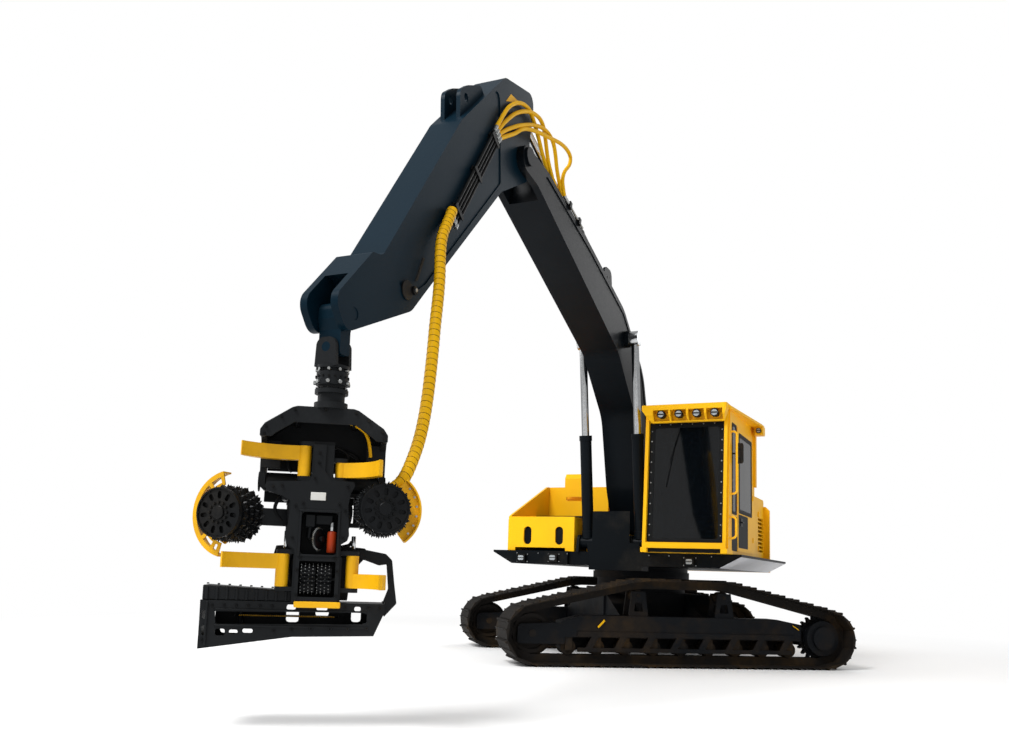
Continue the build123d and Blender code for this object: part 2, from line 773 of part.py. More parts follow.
# Boom: corners (y, z) of its side, each with the radius it is rounded by
boom_half = 240
tip_y = -4950
tip_z = 5280
boom_eye = (-1620, 4200)
stick_lug = (-2050, 4930)
plate_edge = 10  # how far the top and bottom plates stand proud of the side plates
boom_side = [
    (-600, 1700, 120), (-900, 2300, 500), (-1160, 3250, 500), (-1950, 3960, 500), (-4700, 5080, 200),
    (-5080, 5130, 120), (-5090, 5400, 120), (-4400, 5330, 600), (-3050, 4980, 900), (-1700, 4560, 500),
    (-800, 3900, 700), (-340, 2700, 600), (-270, 1900, 170), (-360, 1680, 130),
]
with BuildPart() as boom:
    rounded(side(upper, -boom_half), boom_side, 2 * boom_half)
    # side plates let in between the top and bottom plates, from the foot's boss to the tip's
    for s in (-1, 1):
        a = min(s * boom_half, s * (boom_half - plate_edge))
        rounded(
            side(upper, a),
            [
                (-860, 2320, 300), (-1110, 3270, 450), (-1930, 3925 + 75, 450), (-4500, 5045, 60), (-4500, 5290, 60),
                (-3060, 4925, 800), (-1720, 4510, 450), (-850, 3870, 600), (-400, 2700, 500), (-350, 2200, 60), (-820, 2200, 60),
            ],
            plate_edge,
            Mode.SUBTRACT,
        )
    # slot for the stick's head
    round_bar(side(upper, -166), (tip_y, tip_z), 520, 332, Mode.SUBTRACT)
    round_bar(side(upper, -170), (tip_y, tip_z), 60, 340)
    round_bar(side(upper, -boom_half - 25), (tip_y, tip_z), 95, 26)
    round_bar(side(upper, boom_half - 1), (tip_y, tip_z), 95, 26)
    round_bar(side(upper, -300), (foot_y, foot_z), 50, 600)
    for s in (-1, 1):
        a, b = sorted((s * (boom_half - plate_edge - 5), s * 300))
        round_bar(side(upper, a), boom_eye, 110, b - a)
        a, b = sorted((s * 96, s * 126))
        rounded(
            side(upper, a),
            [(-2400, 4600, 0), (-1850, 4500, 0), (-1930, 5040, 90), (-2170, 5040, 90)],
            b - a,
        )
        round_bar(side(upper, a), stick_lug, 40.3, b - a, Mode.SUBTRACT)
boom.part.label = "boom"
export_step(boom.part, "parts/boom.step")


def along_plane(x, start, stop, share):
    """Plane across x between two corners (y, z), its X along the run and its Y outward."""
    y = start[0] + (stop[0] - start[0]) * share
    z = start[1] + (stop[1] - start[1]) * share
    run = Vector(0, stop[0] - start[0], stop[1] - start[1]).normalized()
    return Plane(origin=(x, y, z), x_dir=run, z_dir=(1, 0, 0))


# Hard tubes along the boom's top, held by clamp blocks
pipe_radius = 13
pipe_lift = 34
pipe_path = [(-3420, 5075.9, 0), boom_side[8], boom_side[9], boom_side[10], boom_side[11], (-305, 2300, 0)]
with BuildPart() as boom_tubes:
    for x in (148, 180, 212):
        tube([(x, y, z, radius) for y, z, radius in spread(pipe_path, pipe_lift)], pipe_radius)
    for i, share in ((0, 0.35), (1, 0.5), (2, 0.5), (3, 0.5), (4, 0.45)):
        slab(
            along_plane(130, pipe_path[i][:2], pipe_path[i + 1][:2], share),
            [(-22, seat), (22, seat), (22, pipe_lift + 22), (-22, pipe_lift + 22)],
            100,
        )
boom_tubes.part.label = "boom_tubes"
export_step(boom_tubes.part, "parts/boom_tubes.step")


def ram_plane(foot, eye, x):
    """Plane across a ram at its foot, its normal along the ram toward the eye."""
    run = Vector(0, eye[0] - foot[0], eye[1] - foot[1]).normalized()
    return Plane(origin=(x, foot[0], foot[1]), x_dir=(1, 0, 0), z_dir=run)


# rams: name, foot pin, eye pin, x of each, barrel length and radius, rod radius,
# half widths of the barrel's and the rod's eye, pin radius, stroke taken in from rest
stick_eye = (-4850, 5950)
rams = [
    ("boom", ram_foot, boom_eye, (-ram_x, ram_x), 1430, 85, 50, 89.7, 59.7, 45, 870),
    ("stick", stick_lug, stick_eye, (0,), 1700, 90, 50, 95.7, 65.7, 40, 950),
]
gland_long = 70
for name, foot, eye, places, barrel_length, barrel_radius, rod_radius, foot_half, eye_half, pin_radius, taken_in in rams:
    span = hypot(eye[0] - foot[0], eye[1] - foot[1])
    with BuildPart() as barrels:
        for x in places:
            across = ram_plane(foot, eye, x)
            round_bar(across.offset(60), (0, 0), barrel_radius - 8, barrel_length - 60)
            round_bar(across.offset(60), (0, 0), barrel_radius, 100)
            round_bar(across.offset(barrel_length - gland_long), (0, 0), barrel_radius, gland_long)
            round_bar(across.offset(60 + 90), (0, 0), rod_radius + 0.3, barrel_length - 60, Mode.SUBTRACT)
            round_bar(side(upper, x - foot_half), foot, barrel_radius, 2 * foot_half)
            round_bar(side(upper, x - foot_half - 30), foot, pin_radius, 2 * foot_half + 60)
    barrels.part.label = name + "_ram_barrel"
    export_step(barrels.part, "parts/" + name + "_ram_barrel.step")
    with BuildPart() as rods:
        for x in places:
            across = ram_plane(foot, eye, x)
            start = 160 + taken_in
            round_bar(across.offset(start), (0, 0), rod_radius, span - start - 60)
            round_bar(side(upper, x - eye_half), eye, 100, 2 * eye_half)
    rods.part.label = name + "_ram_rod"
    export_step(rods.part, "parts/" + name + "_ram_rod.step")

# Stick: corners (y, z) of its side with their radii, its ends set by its two pins
stick_half = 160
hang_y = -reach
hang_z = 2900
stick_side = [
    (tip_y + 250, tip_z + 800, 100), (tip_y - 450, tip_z + 640, 200), (-6260, 5070, 200), (hang_y + 330, hang_z + 540, 100),
    (hang_y + 190, hang_z + 520, 30), (hang_y - 250, hang_z + 60, 120), (hang_y - 90, hang_z - 160, 110),
    (hang_y + 780, hang_z + 230, 200), (hang_y + 1010, hang_z + 470, 200), (tip_y - 450, tip_z - 540, 300),
    (tip_y + 170, tip_z - 180, 140), (tip_y + 190, tip_z + 270, 100), (tip_y + 260, tip_z + 590, 80),
]
hook_pin = (-6080, 5380)
with BuildPart() as stick:
    rounded(side(upper, -stick_half), stick_side, 2 * stick_half)
    for s in (-1, 1):
        a = min(s * stick_half, s * (stick_half - plate_edge))
        rounded(
            side(upper, a),
            [
                (tip_y - 560, tip_z + 480, 60), (-6225, 5020, 200), (hang_y + 400, hang_z + 560, 40),
                (hang_y + 680, hang_z + 300, 60), (hang_y + 980, hang_z + 510, 180), (tip_y - 470, tip_z - 460, 60),
            ],
            plate_edge,
            Mode.SUBTRACT,
        )
    round_bar(side(upper, -stick_half), (tip_y, tip_z), 60.3, 2 * stick_half, Mode.SUBTRACT)
    # channel for the ram's eye
    round_bar(side(upper, -66), stick_eye, 360, 132, Mode.SUBTRACT)
    # fork for the hanger
    round_bar(side(upper, -100), (hang_y, hang_z), 300, 200, Mode.SUBTRACT)
    for s in (-1, 1):
        a, b = sorted((s * 100, s * stick_half))
        round_bar(side(upper, a), (hang_y, hang_z), 45.3, b - a, Mode.SUBTRACT)
        # one plate of the empty lug on the stick's back
        a, b = sorted((s * 60, s * 100))
        rounded(
            side(upper, a),
            [(-5700, 5560, 0), (-5900, 5220, 0), (-6180, 5060, 0), (-6200, 5400, 110), (-6060, 5510, 110), (-5800, 5640, 60)],
            b - a,
        )
        round_bar(side(upper, a), hook_pin, 40, b - a, Mode.SUBTRACT)
stick.part.label = "stick"
export_step(stick.part, "parts/stick.step")

# Hard tubes along the stick's left face
with BuildPart() as stick_tubes:
    for by in (-60, -20, 20, 60):
        path = spread([(-5560, 5270, 0), (-6500, 4240, 400), (-7150, 3440, 0)], by)
        tube([(stick_half + 26, y, z, radius) for y, z, radius in path], pipe_radius)
    for start, stop, share in (((-5560, 5270), (-6500, 4240), 0.1), ((-5560, 5270), (-6500, 4240), 0.75), ((-6500, 4240), (-7150, 3440), 0.8)):
        slab(
            along_plane(stick_half - plate_edge + seat, start, stop, share),
            [(-22, -85), (22, -85), (22, 85), (-22, 85)],
            26 + plate_edge + pipe_radius + 6,
        )
stick_tubes.part.label = "stick_tubes"
export_step(stick_tubes.part, "parts/stick_tubes.step")

cross_z = 2650
hanger_eye = 85
with BuildPart() as hanger:
    rounded(
        side(upper, -92),
        [
            (hang_y - hanger_eye, hang_z + hanger_eye, 72), (hang_y + hanger_eye, hang_z + hanger_eye, 72),
            (hang_y + hanger_eye, hang_z - 40, 20), (hang_y + 60, cross_z + 130, 20),
            (hang_y + 60, cross_z - 50, 30), (hang_y - 60, cross_z - 50, 30),
            (hang_y - 60, cross_z + 130, 20), (hang_y - hanger_eye, hang_z - 40, 20),
        ],
        184,
    )
    round_bar(side(upper, -155), (hang_y, hang_z), 45, 310)
    round_bar(front(upper, hang_y - 100), (0, cross_z), 35, -200)
hanger.part.label = "hanger"
export_step(hanger.part, "parts/hanger.step")

rotator_radius = 118
rotator_low = 2320
with BuildPart() as rotator:
    round_bar(level(upper, rotator_low), (0, hang_y), rotator_radius, 30)
    round_bar(level(upper, rotator_low), (0, hang_y), 95, 200)
    round_bar(level(upper, rotator_low + 60), (0, hang_y), 112, 95)
    for s in (-1, 1):
        y0, y1 = sorted((hang_y + s * 66, hang_y + s * 100))
        rounded(
            front(upper, y0),
            [(-90, cross_z - 140, 0), (90, cross_z - 140, 0), (80, cross_z + 70, 60), (-80, cross_z + 70, 60)],
            y0 - y1,
        )
        round_bar(front(upper, y0), (0, cross_z), 35.3, y0 - y1, Mode.SUBTRACT)
    round_bar(level(upper, cross_z - 150), (0, hang_y), 118, 22)
rotator.part.label = "rotator"
export_step(rotator.part, "parts/rotator.step")

# Head, in its own turned plane: x across, forward -y (the stem side), z up
head_mid = -30
arm_in = 400
arm_thick = 40
tilt_y = 230
tilt_z = 1700
bracket_top = 2215
hood_back = 345
hood_front = -60
arm_front = 140
with BuildPart() as head_bracket:
    round_bar(level(head, bracket_top - 5), (0, 0), rotator_radius, 45)
    round_bar(level(head, bracket_top + 35), (0, 0), 95, rotator_low - seat - bracket_top - 35)
    outer = arm_in + arm_thick
    # hood plate bent over the head, with its cheeks brought down to the tilt pins
    rounded(
        front(head, hood_front),
        [
            (head_mid - outer, tilt_z - 70, 60), (head_mid - outer, 2040, 60), (head_mid - 205, bracket_top, 60),
            (head_mid + 205, bracket_top, 60), (head_mid + outer, 2040, 60), (head_mid + outer, tilt_z - 70, 60),
        ],
        hood_front - hood_back,
    )
    rounded(
        front(head, hood_front + 1 - 2),
        [
            (head_mid - arm_in, tilt_z - 75, 0), (head_mid - arm_in, 2020, 40), (head_mid - 195, bracket_top - arm_thick, 40),
            (head_mid + 195, bracket_top - arm_thick, 40), (head_mid + arm_in, 2020, 40), (head_mid + arm_in, tilt_z - 75, 0),
        ],
        hood_front - hood_back + 30,
        Mode.SUBTRACT,
    )
    block(head, (head_mid - arm_in, head_mid + arm_in), (hood_front + 50, hood_back + 1), (tilt_z - 80, 1790), Mode.SUBTRACT)
    for s in (-1, 1):
        a = min(head_mid + s * (arm_in - 1), head_mid + s * (outer + 1))
        # cheeks cut back below the knives, and rounded at the pins
        rounded(
            side(head, a),
            [(hood_front - 2, tilt_z - 80, 0), (arm_front + 10, tilt_z - 80, 0), (arm_front + 10, 1930, 60), (arm_front - 60, 2000, 60), (hood_front - 2, 2000, 0)],
            arm_thick + 2,
            Mode.SUBTRACT,
        )
        block(head, (a, a + arm_thick + 2), (310, hood_back + 1), (tilt_z - 80, 1880), Mode.SUBTRACT)
        round_bar(side(head, a), (tilt_y, tilt_z), 40.3, arm_thick + 2, Mode.SUBTRACT)
head_bracket.part.label = "head_bracket"
export_step(head_bracket.part, "parts/head_bracket.step")

frame_x = 150
spine_x = 75
head_low = 860
core_front = 30
core_back = 300
lug_thick = 30
knife_y = 60
hub_radius = 45
# knives: name, side, pivot x, hub's lowest and highest z, blade's lowest and highest z,
# turn outward from straight ahead
knives = [
    ("knife_upper_left", -1, 130, 1735, 1950, 1850, 1950, 70),
    ("knife_upper_right", 1, 130, 1735, 1840, 1735, 1840, 35),
    ("knife_lower_left", -1, 240, 965, 1190, 1085, 1190, 59),
    ("knife_lower_right", 1, 240, 965, 1190, 965, 1065, 24),
]
# feed rollers: side name, side, arm pivot, drum's rear end (x, y), turn of its axis, height
drum_radius = 190
drum_core = 165
drum_width = 270
feeds = [
    ("left", -1, (200, 190), (-560, 60), -30, 1445),
    ("right", 1, (270, 200), (380, 60), 6, 1515),
]
arm_half = 90
wheel_y = 112
wheel_z = 1022
with BuildPart() as head_frame:
    block(head, (head_mid - frame_x, head_mid + frame_x), (core_front - 1, core_back), (head_low, 1715))
    block(head, (head_mid - spine_x, head_mid + spine_x), (core_front - 1, core_back), (1700, 1985))
    # front plate, cross-shaped, with a window below its arms
    rounded(
        front(head, core_front),
        [
            (head_mid - 215, 1245, 40), (head_mid - 215, 1560, 30), (head_mid - 170, 1690, 30), (head_mid - spine_x, 1730, 30),
            (head_mid - spine_x, 1960, 0), (head_mid + spine_x, 1960, 0), (head_mid + spine_x, 1730, 30), (head_mid + 155, 1690, 10),
            (head_mid + 155, 1180, 20), (head_mid + 165, 1170, 0), (head_mid + 165, head_low, 0), (head_mid - 165, head_low, 0), (head_mid - 165, 1215, 20),
        ],
        30,
    )
    # window through the front plate into the hollow of the core
    rounded(
        front(head, -2),
        [(head_mid - 125, 1190, 30), (head_mid + 125, 1190, 30), (head_mid + 125, 1485, 30), (head_mid - 125, 1485, 30)],
        -230,
        Mode.SUBTRACT,
    )
    # recess for the studded drums
    rounded(
        front(head, -2),
        [(head_mid - 125, wheel_z - 125, 20), (head_mid + 125, wheel_z - 125, 20), (head_mid + 125, wheel_z + 125, 20), (head_mid - 125, wheel_z + 125, 20)],
        -230,
        Mode.SUBTRACT,
    )
    round_bar(side(head, head_mid - arm_in - arm_thick), (tilt_y, tilt_z), 40, 2 * (arm_in + arm_thick))
    for s in (-1, 1):
        a = min(head_mid + s * (arm_in - 4), head_mid + s * (frame_x - 5))
        round_bar(side(head, a), (tilt_y, tilt_z), 68, arm_in - 4 - frame_x + 5)
    lugs = [(s, px, knife_y, z0, z1, spine_x if z0 > 1700 else frame_x) for name, s, px, z0, z1, low, high, turn in knives]
    lugs += [(s, pivot[0], pivot[1], z - arm_half, z + arm_half, frame_x) for name, s, pivot, rear, turn, z in feeds]
    for s, px, py, z0, z1, near in lugs:
        x = head_mid + s * px
        a, b = head_mid + s * (near - 10), head_mid + s * px
        for low in (z0 - 1 - lug_thick, z1 + 1):
            block(head, sorted((a, b)), (py - hub_radius, py + hub_radius), (low, low + lug_thick))
            round_bar(level(head, low), (x, py), hub_radius, lug_thick)
            round_bar(level(head, low), (x, py), 20.3, lug_thick, Mode.SUBTRACT)
head_frame.part.label = "head_frame"
export_step(head_frame.part, "parts/head_frame.step")

# Pair of studded drums on one shaft that carry the stem
with BuildPart() as head_wheels:
    for low, high in ((-114, -12), (2, 100)):
        with BuildSketch(side(head, head_mid + low)) as shape:
            with BuildLine():
                star = []
                for i in range(40):
                    angle = radians(i * 9)
                    out = 105 if i % 2 else 90
                    star.append((wheel_y + out * cos(angle), wheel_z + out * sin(angle)))
                Polyline(*star, close=True)
            make_face()
        extrude(shape.sketch, amount=high - low)
    round_bar(side(head, head_mid - 125 + seat), (wheel_y, wheel_z), 25, 250 - 2 * seat)
head_wheels.part.label = "head_wheels"
export_step(head_wheels.part, "parts/head_wheels.step")

# Saw box below the head, open in front for the bar, with a ribbed cover on its left
saw_pivot = (-560, 400)
with BuildPart() as saw_box:
    rounded(
        front(head, 60),
        [
            (-800, 545, 30), (-180, 625, 0), (380, 640, 40), (450, 800, 30), (450, head_low, 0), (-800, head_low, 0),
        ],
        -420,
    )
    block(head, (-785, 420), (50, 470), (715, 785), Mode.SUBTRACT)
    round_bar(level(head, 650), saw_pivot, 20.3, 200, Mode.SUBTRACT)
    block(head, (-790, -220), (150, 470), (head_low - 1, 930))
    for i in range(9):
        x = -780 + i * 66
        block(head, (x, x + 24), (140, 475), (925, 950))
saw_box.part.label = "saw_box"
export_step(saw_box.part, "parts/saw_box.step")

with BuildPart() as saw_bar:
    with BuildSketch(level(head, 742)) as shape:
        with Locations(((saw_pivot[0] + 140 - 40) / 2, saw_pivot[1] - 2)):
            SlotOverall(140 - saw_pivot[0] + 40, 84)
    extrude(shape.sketch, amount=12)
    round_bar(level(head, 651), saw_pivot, 20, 198)
saw_bar.part.label = "saw_bar"
export_step(saw_bar.part, "parts/saw_bar.step")

# Delimbing knives: a hub between its lugs and a curved blade with a rounded point
blade_reach = 450
for name, s, px, z0, z1, low, high, turn in knives:
    x = head_mid + s * px
    out = Vector(s * sin(radians(turn)), -cos(radians(turn)))
    aside = Vector(s * cos(radians(turn)), sin(radians(turn)))
    hub = Vector(x, knife_y)
    with BuildPart() as knife:
        round_bar(level(head, z0), (x, knife_y), hub_radius, z1 - z0)
        round_bar(level(head, z0 - lug_thick), (x, knife_y), 20, z1 - z0 + 2 * lug_thick)
        with BuildSketch(level(head, low)) as shape:
            with BuildLine():
                start = hub + aside * 43
                point = hub + out * blade_reach + aside * 12
                ThreePointArc(start, hub + out * 225 + aside * 122, point)
                back = hub + out * blade_reach - aside * 12
                Line(point, back)
                ThreePointArc(back, hub + out * 215 + aside * 42, hub - aside * 43)
                Line(hub - aside * 43, start)
            make_face()
        extrude(shape.sketch, amount=high - low)
    knife.part.label = name
    export_step(knife.part, "parts/" + name + ".step")

# Feed rollers: studded drums, each with a holed disc in front, on a swinging arm with a
# guard band round the drum
for name, s, pivot, rear, turn, z in feeds:
    way = head.from_local_coords((sin(radians(turn)), -cos(radians(turn)), 0)) - head.origin
    spot = head.from_local_coords((rear[0], rear[1], z))
    across = Plane(origin=spot, x_dir=(0, 0, 1), z_dir=way)
    with BuildPart() as roller:
        round_bar(across, (0, 0), drum_core, drum_width - 20)
        for i in range(4):
            with BuildSketch(across.offset(12 + i * 62)) as shape:
                with BuildLine():
                    star = []
                    for j in range(36):
                        angle = radians(j * 10 + i * 5)
                        out = drum_radius if j % 2 else drum_core + 2
                        star.append((out * cos(angle), out * sin(angle)))
                    Polyline(*star, close=True)
                make_face()
            extrude(shape.sketch, amount=34)
        with BuildSketch(across.offset(drum_width - 20)) as shape:
            Circle(drum_core + 5)
            with PolarLocations(118, 11):
                SlotOverall(52, 30, mode=Mode.SUBTRACT)
        extrude(shape.sketch, amount=20)
    roller.part.label = "feed_roller_" + name
    export_step(roller.part, "parts/feed_roller_" + name + ".step")
    hinge_x = head_mid + s * pivot[0]
    with BuildPart() as arm:
        round_bar(level(head, z - arm_half), (hinge_x, pivot[1]), 40, 2 * arm_half)
        round_bar(level(head, z - arm_half - lug_thick), (hinge_x, pivot[1]), 20, 2 * (arm_half + lug_thick))
        slab(
            level(head, z - 60),
            [(hinge_x, pivot[1] - 40), (hinge_x, pivot[1] + 40), (rear[0] - s * 20, rear[1] + 90), (rear[0] + s * 20, rear[1] + 22)],
            120,
        )
        round_bar(across.offset(-60), (0, 0), 105, 60 - seat)
    arm.part.label = "feed_arm_" + name
    export_step(arm.part, "parts/feed_arm_" + name + ".step")
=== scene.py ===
import bpy
import bmesh
from math import cos, pi, radians, sin
from mathutils import Matrix, Vector


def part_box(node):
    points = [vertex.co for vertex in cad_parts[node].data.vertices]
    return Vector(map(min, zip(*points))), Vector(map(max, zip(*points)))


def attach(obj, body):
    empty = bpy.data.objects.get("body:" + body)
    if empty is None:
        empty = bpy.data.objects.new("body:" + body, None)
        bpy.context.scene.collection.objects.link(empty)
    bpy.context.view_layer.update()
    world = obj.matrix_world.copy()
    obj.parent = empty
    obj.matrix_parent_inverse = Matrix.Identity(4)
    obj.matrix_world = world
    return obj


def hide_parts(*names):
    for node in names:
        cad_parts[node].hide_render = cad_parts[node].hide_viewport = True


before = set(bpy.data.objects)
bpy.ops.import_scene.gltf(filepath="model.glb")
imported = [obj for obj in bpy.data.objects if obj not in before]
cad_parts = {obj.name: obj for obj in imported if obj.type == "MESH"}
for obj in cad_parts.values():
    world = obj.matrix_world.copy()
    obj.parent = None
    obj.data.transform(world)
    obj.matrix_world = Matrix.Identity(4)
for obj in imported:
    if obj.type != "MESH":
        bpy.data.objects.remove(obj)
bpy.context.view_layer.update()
scene = bpy.context.scene
scene.view_settings.view_transform = "Standard"

# camera: low in front of the machine, looking up past its left track
view = {
    "place": (3.882, -13.180, 1.100),
    "azimuth": 24.849,
    "tilt": 7.619,
    "roll": 1.820,  # the picture turns this far clockwise
    "lens": 33.46,
    "shiftY": 0.08,
}


def makeCamera(view):
    az, tilt, roll = (radians(view[k]) for k in ("azimuth", "tilt", "roll"))
    forward = Vector((-sin(az) * cos(tilt), cos(az) * cos(tilt), sin(tilt)))
    level = Vector((cos(az), sin(az), 0))
    upright = level.cross(forward)
    right = level * cos(roll) + upright * sin(roll)
    up = upright * cos(roll) - level * sin(roll)
    data = bpy.data.cameras.new("camera")
    data.sensor_width = 36
    data.lens = view["lens"]
    data.shift_y = view["shiftY"]
    data.clip_end = 200
    camera = bpy.data.objects.new("camera", data)
    turn = Matrix((right, up, -forward)).transposed().to_4x4()
    camera.matrix_world = Matrix.Translation(view["place"]) @ turn
    scene.collection.objects.link(camera)
    scene.camera = camera


makeCamera(view)
print("camera set")


# colours are written as sRGB hex and turned to linear here
def colour(code):
    parts = [int(code[i:i + 2], 16) / 255 for i in (1, 3, 5)]
    linear = [c / 12.92 if c <= 0.04045 else ((c + 0.055) / 1.055) ** 2.4 for c in parts]
    return (*linear, 1.0)


# adds one node with its settings and its inputs; an input that is a socket is linked
def addNode(tree, kind, inputs=None, **settings):
    node = tree.nodes.new(kind)
    for key, value in settings.items():
        setattr(node, key, value)
    for key, value in (inputs or {}).items():
        if isinstance(value, bpy.types.NodeSocket):
            tree.links.new(value, node.inputs[key])
        else:
            node.inputs[key].default_value = value
    return node


def newMaterial(name, **shader):
    material = bpy.data.materials.new(name)
    material.use_nodes = True
    tree = material.node_tree
    tree.nodes.clear()
    surface = addNode(tree, "ShaderNodeBsdfPrincipled", shader)
    addNode(tree, "ShaderNodeOutputMaterial", {"Surface": surface.outputs[0]})
    return material, tree, surface


def objectPlace(tree):
    return addNode(tree, "ShaderNodeTexCoord").outputs["Object"]


# the base colour runs from one colour to another as the factor does
def tint(tree, surface, factor, first, second):
    tone = addNode(tree, "ShaderNodeMix", {"Factor": factor, 6: colour(first), 7: colour(second)}, data_type="RGBA")
    tree.links.new(tone.outputs[2], surface.inputs["Base Color"])


def emboss(tree, surface, height, strength, distance):
    bump = addNode(tree, "ShaderNodeBump", {"Height": height, "Strength": strength, "Distance": distance})
    tree.links.new(bump.outputs[0], surface.inputs["Normal"])


# paint sprayed on steel plate: a colour that varies a little, fine orange peel, and dust that
# gathers in patches
def paintedSteel(name, base, shade, rough=0.42, dust="#6E6558", dustAmount=0.25, peel=0.05, metal=0.0, grain=45.0,
                 shine=0.25):
    material, tree, surface = newMaterial(name, Metallic=metal)
    surface.inputs["Specular IOR Level"].default_value = shine
    place = objectPlace(tree)
    broad = addNode(tree, "ShaderNodeTexNoise", {"Vector": place, "Scale": 1.6, "Detail": 5.0, "Roughness": 0.6})
    fine = addNode(tree, "ShaderNodeTexNoise", {"Vector": place, "Scale": grain, "Detail": 5.0})
    tone = addNode(tree, "ShaderNodeMix", {"Factor": broad.outputs["Fac"], 6: colour(base), 7: colour(shade)},
                   data_type="RGBA")
    patch = addNode(tree, "ShaderNodeMapRange",
                    {"Value": broad.outputs["Fac"], "From Min": 0.48, "From Max": 0.78, "To Max": dustAmount})
    specks = addNode(tree, "ShaderNodeMath", {0: patch.outputs[0], 1: fine.outputs["Fac"]}, operation="MULTIPLY")
    dusty = addNode(tree, "ShaderNodeMix",
                    {"Factor": specks.outputs[0], 6: tone.outputs[2], 7: colour(dust)}, data_type="RGBA")
    tree.links.new(dusty.outputs[2], surface.inputs["Base Color"])
    gloss = addNode(tree, "ShaderNodeMapRange",
                    {"Value": fine.outputs["Fac"], "To Min": rough - 0.06, "To Max": rough + 0.10})
    tree.links.new(gloss.outputs[0], surface.inputs["Roughness"])
    emboss(tree, surface, fine.outputs["Fac"], peel, 0.002)
    return material


# enamel sprayed on the body and cab: even and glossy, with a little dust
yellowEnamel = paintedSteel("yellow enamel on steel", "#FFC412", "#F6B40A", rough=0.38, dustAmount=0.10, shine=0.18)
# the same enamel on the head's arms and knives, rubbed by bark
rubbedEnamel = paintedSteel("rubbed yellow enamel", "#F8BE12", "#DDA00C", rough=0.42, dust="#4A3A22",
                            dustAmount=0.45)
boomEnamel = paintedSteel("black enamel on plate", "#0B1116", "#080C10", rough=0.36, dust="#22282E", dustAmount=0.3,
                          shine=0.07)
stickEnamel = paintedSteel("petrol enamel on plate", "#071E2B", "#061822", rough=0.34, dust="#16303D",
                           dustAmount=0.3, shine=0.07)
headEnamel = paintedSteel("charcoal enamel on castings", "#1B1D1F", "#141618", rough=0.42, dust="#38393A",
                          dustAmount=0.5, shine=0.12)
deckEnamel = paintedSteel("dark enamel on folded sheet", "#0B1014", "#070A0D", rough=0.4, shine=0.07)
trackSteel = paintedSteel("rolled track steel with dried soil", "#24211F", "#161412", rough=0.7, dust="#4E3B22",
                          dustAmount=1.3, grain=14.0, shine=0.08)
frameSteel = paintedSteel("black enamel with soil", "#15171A", "#0E1013", rough=0.55, dust="#40311E",
                          dustAmount=0.9, grain=9.0, shine=0.08)
studSteel = paintedSteel("hardened stud steel", "#1B1D1F", "#111214", rough=0.38, metal=0.6, dust="#46423C",
                         dustAmount=0.5)
motorEnamel = paintedSteel("orange enamel on a motor", "#B23A10", "#8E2C0C", rough=0.4)
engineIron = paintedSteel("cast iron under enamel", "#2B2D2E", "#202224", rough=0.7, peel=0.2)
exhaustSteel = paintedSteel("heat-blued exhaust steel", "#3B3531", "#2A2522", rough=0.6, metal=0.5)
# painted light: pale grey standing in for the light that falls on the deck's sloping left skirt; the deck's own
# enamel is dark
skirtPaintedLight = paintedSteel("pale grey painted light", "#D2D3D8", "#C2C4CA", rough=0.4)


# plated steel: bright, with a fine grain
def plainMetal(name, base, rough, peel=0.02):
    material, tree, surface = newMaterial(name, Metallic=1.0)
    place = objectPlace(tree)
    grain = addNode(tree, "ShaderNodeTexNoise", {"Vector": place, "Scale": 60.0, "Detail": 3.0})
    tint(tree, surface, grain.outputs["Fac"], base, "#8E9092")
    gloss = addNode(tree, "ShaderNodeMapRange",
                    {"Value": grain.outputs["Fac"], "To Min": rough, "To Max": rough + 0.12})
    tree.links.new(gloss.outputs[0], surface.inputs["Roughness"])
    emboss(tree, surface, grain.outputs["Fac"], peel, 0.001)
    return material


rodChrome = plainMetal("hard chrome on ram rods", "#D9DBDC", 0.08)
zincSteel = plainMetal("zinc-plated fittings", "#B9BBB8", 0.32)
blackBolt = paintedSteel("blackened bolt steel", "#0E0F11", "#08090A", rough=0.45, metal=0.5)


# moulded rubber, nylon and trim: dull, with a fine grain
def mouldedPlastic(name, base, shade, rough, scale=90.0, strength=0.1):
    material, tree, surface = newMaterial(name)
    place = objectPlace(tree)
    grain = addNode(tree, "ShaderNodeTexNoise", {"Vector": place, "Scale": scale, "Detail": 4.0})
    broad = addNode(tree, "ShaderNodeTexNoise", {"Vector": place, "Scale": 5.0, "Detail": 3.0})
    tint(tree, surface, broad.outputs["Fac"], base, shade)
    surface.inputs["Roughness"].default_value = rough
    surface.inputs["Specular IOR Level"].default_value = 0.12
    emboss(tree, surface, grain.outputs["Fac"], strength, 0.001)
    return material


yellowNylon = mouldedPlastic("yellow nylon hose sleeve", "#ECB60A", "#DCA408", 0.5, scale=220.0, strength=0.25)
blackRubber = mouldedPlastic("black hose rubber", "#0C0D0E", "#16181A", 0.55)
cabTrim = mouldedPlastic("moulded cab trim", "#15171A", "#1E2124", 0.6)
whitePlate = mouldedPlastic("white enamel plate", "#DADAD6", "#C9C8C3", 0.45, scale=40.0, strength=0.02)


# woven seat cloth: threads about 2 mm apart
def makeSeatCloth():
    material, tree, surface = newMaterial("woven seat cloth", Roughness=0.9)
    surface.inputs["Sheen Weight"].default_value = 0.25
    place = objectPlace(tree)
    warp = addNode(tree, "ShaderNodeTexWave", {"Vector": place, "Scale": 160.0}, bands_direction="X")
    weft = addNode(tree, "ShaderNodeTexWave", {"Vector": place, "Scale": 160.0}, bands_direction="Z")
    both = addNode(tree, "ShaderNodeMath", {0: warp.outputs["Fac"], 1: weft.outputs["Fac"]}, operation="MULTIPLY")
    tint(tree, surface, both.outputs[0], "#17191D", "#2A2E34")
    emboss(tree, surface, both.outputs[0], 0.3, 0.001)
    return material


seatCloth = makeSeatCloth()


